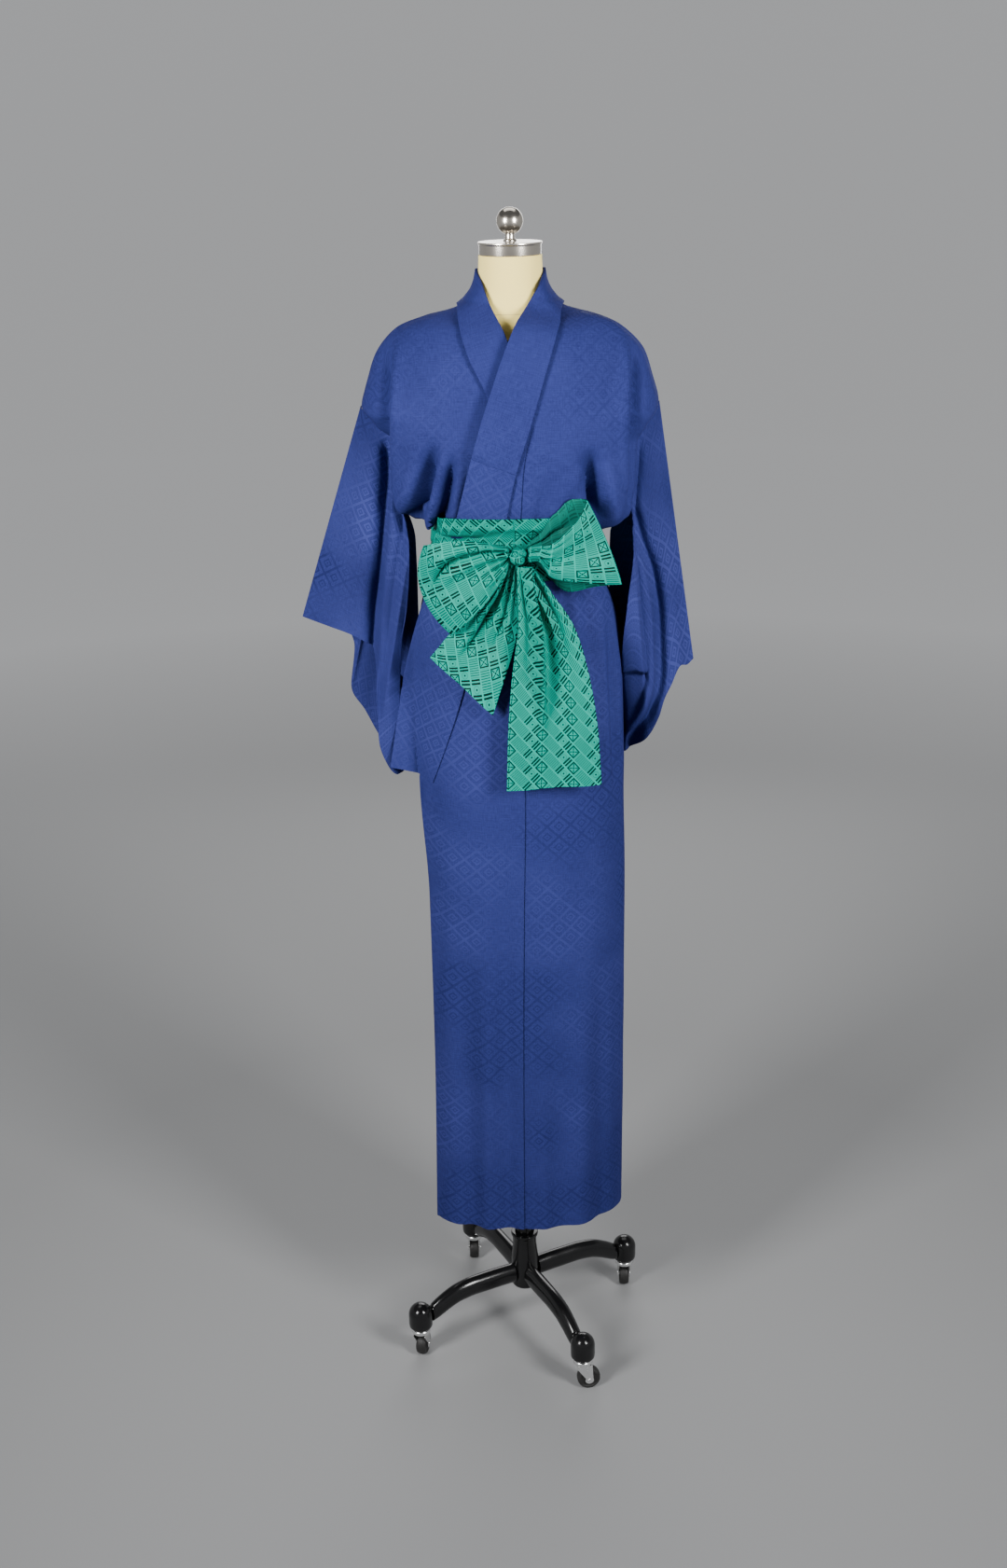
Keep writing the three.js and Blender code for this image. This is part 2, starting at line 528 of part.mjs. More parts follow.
// The overlap panel beside the front opening, from the hem to its point, in the body panel's own rows.
function overlapGrid(side) {
  const over = side > 0;
  const heights = [...LOW_ROWS.map((v) => sectionOf.z(v)), ...HIGH_ROWS.map((p) => highZ(p, 0))];
  return heights.filter((z) => z < KENSAKI_Z).map((z) => {
    const seam = side * (overlapAt.seam(z) - EDGE_HALF_GAP);
    const beneath = side * (collarSewnX(z) - TUCK_UNDER);
    const edge = mix(side * overlapAt.free(z), beneath, ease((z - COLLAR[0].sewnZ + 2) / 60));
    return steps(0, 1, 5).map((w) => {
      const x = mix(seam, edge, w);
      if (!over) return wrappedPoint(x, z, LAYER.body);
      const point = frontPoint(x, z, LAYER.wrap);
      point.y -= overlapAt.stand(z) * w ** 3;
      return point;
    });
  });
}

// One half of the collar, from its end at the hip to the nape: sewn edge first, free edge last.
const collarAt = columns(COLLAR, (_, i) => i, ['sewnX', 'sewnZ', 'freeX', 'freeZ']);
const COLLAR_ROWS = [0, 0.5, 1, 1.5, 2, 2.5, 3, 3.5, 4, 4.5, 5, 5.5, 6, 6.5, 7, 7.4, 7.7, 8, 8.3, 8.6, 9,
  9.35, 9.7, 10];
function collarHalf(side) {
  const over = side > 0;
  const across = steps(0, 1, 3);
  const front = COLLAR_ROWS.map((i) => across.map((c) => {
    const x = side * mix(collarAt.sewnX(i), collarAt.freeX(i), c);
    const z = mix(collarAt.sewnZ(i), collarAt.freeZ(i), c);
    if (!over) return wrappedPoint(x, z, LAYER.collar);
    const point = frontPoint(x, z, wrapRise(z) + LAYER.collar);
    point.y -= COLLAR_END.stand * ease((COLLAR_END.from - z) / COLLAR_END.over) * (1 + COLLAR_END.turn * c);
    return point;
  }));
  const round = NECK.map((row) => {
    const lift = LAYER.collar + (over && row.sewnX ? wrapRise(row.sewnZ - 5) : 0);
    const sewn = row.turn
      ? lifted(side * row.turn * DEG, level(row.sewnZ), lift)
      : frontPoint(side * row.sewnX, row.sewnZ, lift);
    const free = vec(side * row.freeX, row.freeY - (over && row.at === 'shoulder front' ? 5 : 0), row.freeZ);
    return across.map((c) => sewn.clone().lerp(free, c));
  });
  return [...front, ...round];
}

function collarGrid() {
  const left = collarHalf(1);
  const right = collarHalf(-1);
  return [...left, ...right.slice(0, -1).reverse()];
}

// The sleeve's cloth as rings round the sleeve, from the armhole to the cuff end.
function sleeveGrid({ side, cuff, open }, body) {
  const lowCount = LOW_ROWS.length;
  const highCount = HIGH_ROWS.length;
  const outerEdge = body.map((row) => row[BODY_COLUMNS - 1]);
  const ridge = lowCount + highCount - 1;
  const away = vec(side * (SEAM + CLOTH * 2), 0, 0);
  const fromTop = (step) => {
    const edge = [];
    for (let i = 0; i < highCount + 1; i += 1) edge.push(outerEdge[ridge + step * i].clone().add(away));
    return edge.slice(1);
  };
  const length = (edge, start) => {
    let total = 0;
    let last = start;
    return edge.map((point) => {
      total += point.distanceTo(last);
      last = point;
      return total;
    });
  };
  const top = outerEdge[ridge].clone().add(vec(side * (SEAM + CLOTH * 0.6), 0, -1));
  const faces = [-1, 1].map((step) => {
    const edge = fromTop(step);
    const run = length(edge, top);
    const scale = ARMHOLE / run[run.length - 1];
    return edge.map((point, i) => ({ around: -step * run[i] * scale, point }));
  });
  const rowPoint = (row) => ({ around: row.around, point: vec(side * row.x, row.y, row.z) });
  const front = [...faces[0], ...open.filter((row) => row.around > 0).map(rowPoint)];
  const back = [...faces[1], ...open.filter((row) => row.around < 0).reverse().map(rowPoint)];
  const start = [{ around: 0, point: top }, ...front, ...back.reverse()];
  const turn = (around) => (around < 0 ? around + 2 * SLEEVE_DEPTH : around);
  const ends = cuff.map((row) => ({ ...row, turn: turn(row.around) }));
  const closed = [...ends, { ...ends[0], turn: 2 * SLEEVE_DEPTH }];
  const cuffAt = columns(closed, (row) => row.turn, ['x', 'y', 'z']);
  const fold = (around, { at, width }) => Math.exp(-(((Math.abs(around) - at) / width) ** 2));
  return steps(0, 1, 9).map((s) => start.map(({ around, point }) => {
    const t = turn(around);
    const end = vec(side * cuffAt.x(t), cuffAt.y(t), cuffAt.z(t));
    const place = point.clone().lerp(end, s);
    const middle = Math.sin(Math.PI * Math.min(1, s * 0.9 + 0.02));
    const face = around > 0 ? -1 : 1;
    if (around !== 0) {
      place.y += face * middle * (ROLL.depth * fold(around, ROLL) - VALLEY.depth * fold(around, VALLEY));
    }
    return place;
  }));
}

const bodies = { left: bodyGrid(1), right: bodyGrid(-1) };
add('body_left', wall(bodies.left, CLOTH, { sense: 1 }), BLUE_SILK());
add('body_right', wall(bodies.right, CLOTH, { sense: -1 }), BLUE_SILK());
add('overlap_left', wall(overlapGrid(1), CLOTH, { sense: -1 }), BLUE_SILK());
add('overlap_right', wall(overlapGrid(-1), CLOTH, { sense: 1 }), BLUE_SILK());
for (const [name, shape] of Object.entries(SLEEVES)) {
  add(`sleeve_${name}`, wall(sleeveGrid(shape, bodies[name]), CLOTH, { loop: true }), BLUE_SILK());
}
const collar = collarGrid();
add('collar', wall(collar, COLLAR_WALL, { sense: -1 }), BLUE_SILK());
const stripRow = COLLAR_ROWS.indexOf(STRIP_END);
const strip = collar.slice(stripRow, collar.length - stripRow);
add('over_collar', wall(strip, COLLAR_STRIP, { sense: -1, lift: LAYER.strip }), BLUE_SILK());

// ---------------------------------------------------------------- sash and bow
function sashGrid() {
  return steps(0, 1, SASH_ROWS).map((h) => steps(0, 1, SASH_COLUMNS).slice(0, -1).map((t) => {
    const phi = 2 * Math.PI * t;
    const top = mix(SASH.topSide, SASH.topFront, Math.max(0, Math.cos(phi)) ** 2);
    const z = mix(SASH.bottom, top, h);
    const stack = SASH.lift + SASH.over * Math.sqrt(0.5 + 0.5 * Math.cos(phi + 20 * DEG));
    const crumple = SASH.slack * (Math.sin(h * Math.PI * 3) * Math.sin(phi * 2 + 1) + 1);
    return lifted(phi, level(z), stack + crumple);
  }));
}
add('sash', wall(sashGrid(), SASH_WALL, { loop: true }), GREEN_SILK());

// A ribbon through its stations: a soft curve of middles, with the width laid along the half-width vector.
function ribbonGrid(rows) {
  const along = columns(rows, (_, i) => i, ['x', 'y', 'z', 'wx', 'wy', 'wz', 'bend']);
  return steps(0, rows.length - 1, (rows.length - 1) * 2).map((i) => steps(-1, 1, 5).map((c) => vec(
    along.x(i) + along.wx(i) * c + along.bend(i) * (1 - c * c),
    along.y(i) + along.wy(i) * c + RIBBON_WAVE * Math.cos(c * Math.PI * 1.5),
    along.z(i) + along.wz(i) * c)));
}
for (const [name, rows] of Object.entries(RIBBONS)) {
  add(name, wall(ribbonGrid(rows), SASH_WALL), GREEN_SILK());
}
const knot = new THREE.SphereGeometry(1, 12, 8);
knot.scale(KNOT.across, KNOT.deep, KNOT.high);
knot.translate(KNOT.x, KNOT.y, KNOT.z);
add('bow_knot', knot, GREEN_SILK());

// ---------------------------------------------------------------- dress form
const formRing = ({ z, side, front, back }) => steps(0, 1, 28).slice(0, -1).map((t) => {
  const phi = 2 * Math.PI * t;
  const deep = Math.cos(phi) > 0 ? front : back;
  return vec(side * Math.sin(phi), -deep * Math.cos(phi), z);
});
const formAt = columns(FORM, (_, i) => i, ['z', 'side', 'front', 'back']);
const formRows = steps(0, FORM.length - 1, FORM.length + 2).map((i) => ({
  z: formAt.z(i), side: formAt.side(i), front: formAt.front(i), back: formAt.back(i) }));
add('form_torso', loft(formRows.map(formRing)), CREAM_LINEN());
add('neck_cap', turned([
  [0, CAP.z], [CAP.r, CAP.z], [CAP.r, CAP.z + CAP.high - CAP.rimHigh - 1],
  [CAP.rimR, CAP.z + CAP.high - CAP.rimHigh], [CAP.rimR, CAP.z + CAP.high], [0, CAP.z + CAP.high],
], 30), STEEL());
const capTop = CAP.z + CAP.high + SEAM;
const ballProfile = steps(-62, 90, 8).map((a) => [
  a === 90 ? 0 : BALL.r * Math.cos(a * DEG), BALL.z + BALL.r * Math.sin(a * DEG)]);
const footTop = capTop + BALL.stemFootHigh;
add('finial', turned([[0, capTop], [BALL.stemFootR, capTop], [BALL.stemFootR, footTop],
  [BALL.stemR, footTop + BALL.stemTaper], [BALL.stemR, BALL.z - BALL.r + 1.5], ...ballProfile], 20), STEEL());

// ---------------------------------------------------------------- pole and base
add('pole', turned([[0, POLE.bottom], [POLE.r, POLE.bottom], [POLE.r, FORM[0].z - POLE.flangeHigh - SEAM],
  [POLE.flangeR, FORM[0].z - POLE.flangeHigh - SEAM], [POLE.flangeR, FORM[0].z - SEAM],
  [0, FORM[0].z - SEAM]]), BLACK_PAINT());
add('stand_tube', turned([[TUBE.bore, TUBE.bottom], [TUBE.outer, TUBE.bottom], [TUBE.outer, TUBE.top],
  [TUBE.bore, TUBE.top], [TUBE.bore, TUBE.bottom]]), BLACK_PAINT());
add('hub', turned([[TUBE.outer + SEAM, HUB.bottom], [HUB.r, HUB.bottom], [HUB.r, HUB.waist[0]],
  [HUB.waistR, HUB.waist[1]], [HUB.waistR, HUB.waist[2]], [HUB.r, HUB.waist[3]], [HUB.r, HUB.top],
  [TUBE.outer + SEAM, HUB.top],
  [TUBE.outer + SEAM, HUB.bottom]]), BLACK_PAINT());
add('lock_collar', turned([[TUBE.outer + SEAM, LOCK.bottom], [LOCK.r, LOCK.bottom], [LOCK.r, LOCK.top],
  [POLE.r + SEAM, LOCK.top], [POLE.r + SEAM, TUBE.top + SEAM], [TUBE.outer + SEAM, TUBE.top + SEAM],
  [TUBE.outer + SEAM, LOCK.bottom]]), BLACK_PAINT());
const screw = turned([[0, 0], [SCREW.shankR, 0], [SCREW.shankR, SCREW.shank],
  [SCREW.r, SCREW.shank + SCREW.shoulder], [SCREW.r, SCREW.long], [0, SCREW.long]], 12);
screw.rotateY(Math.PI / 2);
screw.translate(LOCK.r + SEAM, 0, LOCK.bottom + SCREW.above);
screw.rotateZ(90 * DEG);
add('lock_screw', screw, BLACK_PAINT());

// One arm as a swept oval, standing in the X-Z plane before it is turned into place.
function armGeometry() {
  const rings = ARM_LINE.map(({ r, z, size }, i) => {
    const before = ARM_LINE[Math.max(0, i - 1)];
    const after = ARM_LINE[Math.min(ARM_LINE.length - 1, i + 1)];
    const flat = i === 0 || i === ARM_LINE.length - 1;
    const slope = flat ? 0 : Math.atan2(after.z - before.z, after.r - before.r);
    return steps(0, 1, 14).slice(0, -1).map((t) => {
      const a = 2 * Math.PI * t;
      const up = BASE.armHigh * size * Math.cos(a);
      return vec(r - up * Math.sin(slope), BASE.armWide * size * Math.sin(a), z + up * Math.cos(slope));
    });
  });
  return loft(rings);
}

const dome = steps(0, 90, 4).map((a) => [
  a === 90 ? 0 : KNOB.r * Math.cos(a * DEG), KNOB.shoulder + (KNOB.top - KNOB.shoulder) * Math.sin(a * DEG)]);

// The fork is an inverted U, drawn in towards the axle.
function forkGeometry() {
  const inside = FORK.inner / 2;
  const half = inside + FORK.plate;
  const roofTop = FORK.top - WHEEL.r + FORK.below;
  const outline = new THREE.Shape();
  outline.moveTo(-half, 0);
  outline.lineTo(-inside, 0);
  outline.lineTo(-inside, roofTop - FORK.roof);
  outline.lineTo(inside, roofTop - FORK.roof);
  outline.lineTo(inside, 0);
  outline.lineTo(half, 0);
  outline.lineTo(half, roofTop);
  outline.lineTo(-half, roofTop);
  outline.closePath();
  const geometry = new THREE.ExtrudeGeometry(outline, { depth: FORK.long, steps: 1, bevelEnabled: false });
  geometry.translate(0, 0, -FORK.long / 2);
  geometry.rotateX(Math.PI / 2);
  geometry.rotateZ(Math.PI / 2);
  const position = geometry.attributes.position;
  for (let i = 0; i < position.count; i += 1) {
    if (position.getZ(i) < 1) {
      position.setX(i, position.getX(i) * (FORK.foot / FORK.long) + WHEEL.trail);
    }
  }
  geometry.translate(0, 0, WHEEL.r - FORK.below);
  return geometry;
}

const wheelR = WHEEL.r / Math.cos(Math.PI / WHEEL.sides);
for (let i = 0; i < BASE.arms; i += 1) {
  const turn = (BASE.turn + i * 90) * DEG;
  const n = i + 1;
  const arm = armGeometry();
  arm.rotateZ(turn);
  add(`arm_${n}`, arm, BLACK_PAINT());
  const [x, y] = [BASE.r * Math.cos(turn), BASE.r * Math.sin(turn)];
  const place = (geometry, spin) => {
    geometry.rotateZ(spin);
    geometry.translate(x, y, 0);
    return geometry;
  };
  const knob = turned([[0, KNOB.bottom], [KNOB.r - KNOB.bevelWide, KNOB.bottom],
    [KNOB.r, KNOB.bottom + KNOB.bevelHigh], ...dome], 20);
  add(`knob_${n}`, place(knob, 0), BLACK_PAINT());
  const trail = CASTER_TURN[i] * DEG;
  add(`fork_${n}`, place(forkGeometry(), trail), CHROME());
  const lying = (geometry) => {
    geometry.rotateX(Math.PI / 2);
    geometry.translate(WHEEL.trail, 0, WHEEL.r);
    return place(geometry, trail);
  };
  const w = WHEEL.wide / 2;
  const cheekR = wheelR - TYRE.cheek;
  const shoulderR = wheelR - TYRE.shoulder;
  const side = w - TYRE.shoulderWide;
  const tyre = turned([[WHEEL.bore, -w], [cheekR, -w], [shoulderR, -side], [wheelR, -TYRE.tread],
    [wheelR, TYRE.tread], [shoulderR, side], [cheekR, w], [WHEEL.bore, w], [WHEEL.bore, -w]], WHEEL.sides);
  tyre.rotateZ(Math.PI / WHEEL.sides);
  add(`wheel_${n}`, lying(tyre), RUBBER());
  const pin = FORK.inner / 2 - SEAM;
  const axle = turned([[0, -pin], [WHEEL.pin, -pin], [WHEEL.pin, pin], [0, pin]], 12);
  add(`axle_${n}`, lying(axle), CHROME());
}

export default root;
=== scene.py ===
"""A long blue damask kimono, worn left over right and tied with a green sash in a front bow.

It hangs on a limbless dress form with a metal neck cap, on a telescoping pole and a four-arm caster base.
Shapes are worked out in millimetres from the pole's axis (+Z up, the wearer faces -Y, the wearer's left
is +X) and put in the frame by placed().
"""
import math

import bmesh
import bpy
import numpy as np
from mathutils import Matrix, Vector


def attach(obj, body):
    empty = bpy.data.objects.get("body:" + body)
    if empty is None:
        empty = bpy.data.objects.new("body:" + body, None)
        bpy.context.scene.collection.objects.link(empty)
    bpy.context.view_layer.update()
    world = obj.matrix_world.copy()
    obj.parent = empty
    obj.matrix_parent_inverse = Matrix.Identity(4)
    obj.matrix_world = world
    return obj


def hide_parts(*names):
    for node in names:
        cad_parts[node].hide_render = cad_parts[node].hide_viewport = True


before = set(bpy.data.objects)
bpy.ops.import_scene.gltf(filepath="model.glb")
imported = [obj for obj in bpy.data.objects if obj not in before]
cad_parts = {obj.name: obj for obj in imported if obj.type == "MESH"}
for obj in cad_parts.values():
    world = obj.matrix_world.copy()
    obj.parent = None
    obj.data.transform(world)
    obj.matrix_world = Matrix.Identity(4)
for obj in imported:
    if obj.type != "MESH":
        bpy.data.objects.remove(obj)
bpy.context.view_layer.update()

DEG = math.pi / 180
SHIFT = np.array([26.0, 0.0, 0.0])  # the pole's axis in the frame


def placed(points):
    """Millimetres from the pole's axis to metres in the frame."""
    return (np.asarray(points, float) + SHIFT) / 1000.0


# ---------------------------------------------------------------- camera
CAMERA_PLACE = (0.0025, -2.7275, 2.0837)  # metres
CAMERA_TILT, CAMERA_ROLL = 69.257, -1.0212  # degrees up from straight down, and about the line of sight
LENS = 41.12


def add_camera():
    """A portrait view from in front and a little above."""
    data = bpy.data.cameras.new("view")
    data.sensor_width = 36.0
    data.sensor_fit = "AUTO"
    data.lens = LENS
    data.clip_end = 60.0
    camera = bpy.data.objects.new("view", data)
    turn = Matrix.Rotation(CAMERA_TILT * DEG, 4, "X") @ Matrix.Rotation(CAMERA_ROLL * DEG, 4, "Z")
    camera.matrix_world = Matrix.Translation(CAMERA_PLACE) @ turn
    bpy.context.scene.collection.objects.link(camera)
    bpy.context.scene.camera = camera


add_camera()


# ---------------------------------------------------------------- curves and tables
def curve(xs, ys):
    """A monotone cubic through the points (xs, ys): smooth, and never beyond its neighbours' values."""
    xs, ys = np.asarray(xs, float), np.asarray(ys, float)
    rise = np.diff(ys) / np.diff(xs)
    before, after = np.r_[rise[0], rise], np.r_[rise, rise[-1]]
    total = np.where(before + after == 0, 1.0, before + after)
    slope = np.where(before * after > 0, 2 * before * after / total, 0.0)

    def at(x):
        """The curve's value: the four Hermite terms of the gap that x falls in."""
        x = np.clip(np.asarray(x, float), xs[0], xs[-1])
        i = np.clip(np.searchsorted(xs, x, side="right") - 1, 0, len(xs) - 2)
        h = xs[i + 1] - xs[i]
        t = (x - xs[i]) / h
        return ((2 * t**3 - 3 * t**2 + 1) * ys[i] + (t**3 - 2 * t**2 + t) * h * slope[i]
                + (3 * t**2 - 2 * t**3) * ys[i + 1] + (t**3 - t**2) * h * slope[i + 1])
    return at


def ease(t):
    """0 below 0, 1 above 1, and a smooth S between."""
    c = np.clip(t, 0.0, 1.0)
    return c * c * (3 - 2 * c)


def mix(a, b, t):
    """a where t is 0 and b where it is 1."""
    return a + (b - a) * t


def bell(d, width):
    """A smooth bump, 1 at d = 0."""
    return np.exp(-(d / width) ** 2)


# ---------------------------------------------------------------- meshes from grids
def full_turn(count):
    """So many angles round a circle, from 0 and evenly spaced."""
    return np.linspace(0, 2 * math.pi, count, endpoint=False)


def quads(rows, cols):
    """Faces between rows of points, each row closed on itself as a ring."""
    r, c = np.meshgrid(np.arange(rows - 1), np.arange(cols), indexing="ij")
    a, b = r * cols + c, r * cols + (c + 1) % cols
    return np.stack([a, b, b + cols, a + cols], -1).reshape(-1, 4)


def unit(vectors):
    """The vectors made one long."""
    return vectors / np.maximum(np.linalg.norm(vectors, axis=-1, keepdims=True), 1e-9)


def grid_normals(grid, loop=False):
    """Across each grid point, the cross product of the directions along its row and its column."""
    if loop:
        across = np.roll(grid, -1, 1) - np.roll(grid, 1, 1)
    else:
        across = np.gradient(grid, axis=1)
    return unit(np.cross(across, np.gradient(grid, axis=0)))


def new_object(name, points, faces, uv=None, sharp=50):
    """A mesh object from points in millimetres; faces is a list of arrays of equal-sided polygons."""
    mesh = bpy.data.meshes.new(name)
    mesh.from_pydata(placed(points).tolist(), [], [f for part in faces for f in part.tolist()])
    if uv is not None:
        corner = np.empty(len(mesh.loops), dtype=np.int32)
        mesh.loops.foreach_get("vertex_index", corner)
        layer = mesh.uv_layers.new(name="cloth")
        layer.data.foreach_set("uv", np.asarray(uv, np.float32)[corner].ravel())
    mesh.validate()
    mesh.polygons.foreach_set("use_smooth", np.ones(len(mesh.polygons), dtype=bool))
    mesh.set_sharp_from_angle(angle=sharp * DEG)
    piece = bpy.data.objects.new(name, mesh)
    bpy.context.scene.collection.objects.link(piece)
    return piece


def rounded_edge(edge, out, up, half):
    """Three points of half a circle round a sheet's edge, begun on the side that up points to."""
    return np.stack([edge + half * (math.cos(a) * up + math.sin(a) * out)
                     for a in (45 * DEG, 90 * DEG, 135 * DEG)], 1)


def open_wall(grid, uv, n, half):
    """Points, cloth coordinates, faces and a mark for the inner face, of a sheet with four edges.

    Each row becomes a closed ring: the outer face, half a circle round the last point, the inner face
    back, and half a circle round the first. The first and last rings are closed flat.
    """
    rows, cols = grid.shape[:2]
    right = rounded_edge(grid[:, -1], unit(grid[:, -1] - grid[:, -2]), n[:, -1], half)
    left = rounded_edge(grid[:, 0], unit(grid[:, 0] - grid[:, 1]), -n[:, 0], half)
    ring = np.concatenate([grid + n * half, right, (grid - n * half)[:, ::-1], left], 1)
    uvs = np.concatenate([uv, np.repeat(uv[:, -1:], 3, 1), uv[:, ::-1], np.repeat(uv[:, :1], 3, 1)], 1)
    side = ring.shape[1]
    k = np.arange(cols - 1)
    beneath = 2 * cols + 2 - k
    middle = np.stack([k, beneath, beneath - 1, k + 1], -1)
    right_end = np.array([[cols - 1, cols + 3, cols + 2, cols + 1, cols]])
    left_end = np.array([[0, side - 1, side - 2, side - 3, 2 * cols + 2]])
    faces = [quads(rows, side)]
    for part in (middle, right_end, left_end):
        faces += [part, part[:, ::-1] + (rows - 1) * side]
    inside = np.tile(np.r_[np.zeros(cols + 3), np.ones(cols), np.zeros(3)], rows)
    return ring.reshape(-1, 3), uvs.reshape(-1, 2), faces, inside


def looped_wall(grid, uv, n, half):
    """The same for rows that are rings: an outer and an inner tube, joined at both ends."""
    rows, cols = grid.shape[:2]
    count = rows * cols
    points = np.concatenate([(grid + n * half).reshape(-1, 3), (grid - n * half).reshape(-1, 3)])
    sheet = quads(rows, cols)
    c = np.arange(cols)
    d = (c + 1) % cols
    low = np.stack([c, c + count, d + count, d], -1)
    high = np.stack([c, d, d + count, c + count], -1) + (rows - 1) * cols
    faces = [sheet, sheet[:, ::-1] + count, low, high]
    return points, np.tile(uv.reshape(-1, 2), (2, 1)), faces, np.repeat([0.0, 1.0], count)


def cloth_wall(name, grid, uv, thickness, sense=1, loop=False):
    """A cloth of even thickness about a grid of points; a point attribute is 1 on its inner face, which the
    green silk paints darker as painted shade.
    """
    n = grid_normals(grid, loop) * sense
    wall = looped_wall if loop else open_wall
    points, uvs, faces, inside = wall(grid, uv, n, thickness / 2)
    if volume(points, faces) < 0:
        faces = [part[:, ::-1] for part in faces]
    piece = new_object(name, points, faces, uvs)
    piece.data.attributes.new("painted_shade_side", "FLOAT", "POINT").data.foreach_set("value", inside)
    return piece


def volume(points, faces):
    """Six times the enclosed volume, as a sum over the fans of the faces."""
    total = 0.0
    for part in faces:
        a = points[part[:, 0]]
        for k in range(1, part.shape[1] - 1):
            total += np.einsum("ij,ij->i", a, np.cross(points[part[:, k]], points[part[:, k + 1]])).sum()
    return total


def tube(name, rings, uv=None):
    """A closed body through rings of points, each end closed by a fan to its middle."""
    rows, cols = rings.shape[:2]
    points = np.concatenate([rings.reshape(-1, 3), rings[:1].mean(1), rings[-1:].mean(1)])
    faces = [quads(rows, cols)]
    c = np.arange(cols)
    d = (c + 1) % cols
    first, last = rows * cols, rows * cols + 1
    top = (rows - 1) * cols
    faces.append(np.stack([d, c, np.full(cols, first)], -1))
    faces.append(np.stack([top + c, top + d, np.full(cols, last)], -1))
    if volume(points, faces) < 0:
        faces = [part[:, ::-1] for part in faces]
    return new_object(name, points, faces, uv)


def rounded(outline, radius, bits=4):
    """A closed outline with each corner replaced by a short arc of a quadratic curve."""
    outline = np.asarray(outline, float)
    out = []
    for before, corner, after in zip(np.roll(outline, 1, 0), outline, np.roll(outline, -1, 0)):
        a, b = before - corner, after - corner
        la, lb = np.linalg.norm(a), np.linalg.norm(b)
        r = min(radius, 0.45 * la, 0.45 * lb)
        start, end = corner + a / la * r, corner + b / lb * r
        t = np.linspace(0, 1, bits)[:, None]
        out.append((1 - t) ** 2 * start + 2 * t * (1 - t) * corner + t**2 * end)
    return np.concatenate(out)


def laid(points, matrix):
    """Points turned and moved by a 4 by 4 matrix in millimetres."""
    matrix = np.array(matrix)
    return points @ matrix[:3, :3].T + matrix[:3, 3]


def lathe(name, outline, sides, eased, axis=None):
    """A closed outline of (radius, height) pairs, its corners eased, turned once round an upright axis.

    axis may be a 4 by 4 matrix in millimetres that lays the finished body in its place.
    """
    profile = rounded(outline, eased)
    angle = full_turn(sides)
    r = np.maximum(profile[:, :1], 0.0)
    rings = np.stack([r * np.cos(angle), r * np.sin(angle), np.repeat(profile[:, 1:], sides, 1)], -1)
    rows, cols = rings.shape[:2]
    points = rings.reshape(-1, 3)
    i, c = np.meshgrid(np.arange(rows), np.arange(cols), indexing="ij")
    j, d = (i + 1) % rows, (c + 1) % cols
    faces = np.stack([i * cols + c, i * cols + d, j * cols + d, j * cols + c], -1).reshape(-1, 4)
    if axis is not None:
        points = laid(points, axis)
    if volume(points, [faces]) < 0:
        faces = faces[:, ::-1]
    piece = new_object(name, points, [faces], sharp=40)
    weld(piece)
    return piece


def weld(piece):
    """Joins points that coincide, as on the axis of a turned body, and drops what collapses."""
    work = bmesh.new()
    work.from_mesh(piece.data)
    bmesh.ops.remove_doubles(work, verts=work.verts, dist=1e-6)
    bmesh.ops.dissolve_degenerate(work, edges=work.edges, dist=1e-7)
    work.to_mesh(piece.data)
    work.free()


# ---------------------------------------------------------------- materials
class Val:
    """One socket of a node tree, so that shader sums are written as Python sums."""

    def __init__(self, look, socket):
        self.look, self.socket = look, socket

    def math(self, operation, *others):
        """A Math node on this value and the others."""
        return self.look.out("ShaderNodeMath", {"operation": operation}, [self, *others])

    def __add__(self, other):
        return self.math("ADD", other)

    __radd__ = __add__

    def __mul__(self, other):
        return self.math("MULTIPLY", other)

    __rmul__ = __mul__

    def __sub__(self, other):
        return self.math("SUBTRACT", other)

    def __rsub__(self, other):
        return self.look.out("ShaderNodeMath", {"operation": "SUBTRACT"}, [other, self])

    def __truediv__(self, other):
        return self.math("DIVIDE", other)

    def __abs__(self):
        return self.math("ABSOLUTE")

    def fract(self):
        return self.math("FRACT")

    def floor(self):
        return self.math("FLOOR")

    def sine(self):
        return self.math("SINE")

    def larger(self, other):
        """The larger of the two; joins two masks."""
        return self.math("MAXIMUM", other)

    def smaller(self, other):
        return self.math("MINIMUM", other)

    def above(self, edge, soft):
        """1 above the edge and 0 below it, with a slope soft wide about it."""
        return ((self - edge) / soft + 0.5).larger(0.0).smaller(1.0)

    def below(self, edge, soft):
        """1 below the edge and 0 above it, with the same slope."""
        return (((self * -1) + edge) / soft + 0.5).larger(0.0).smaller(1.0)


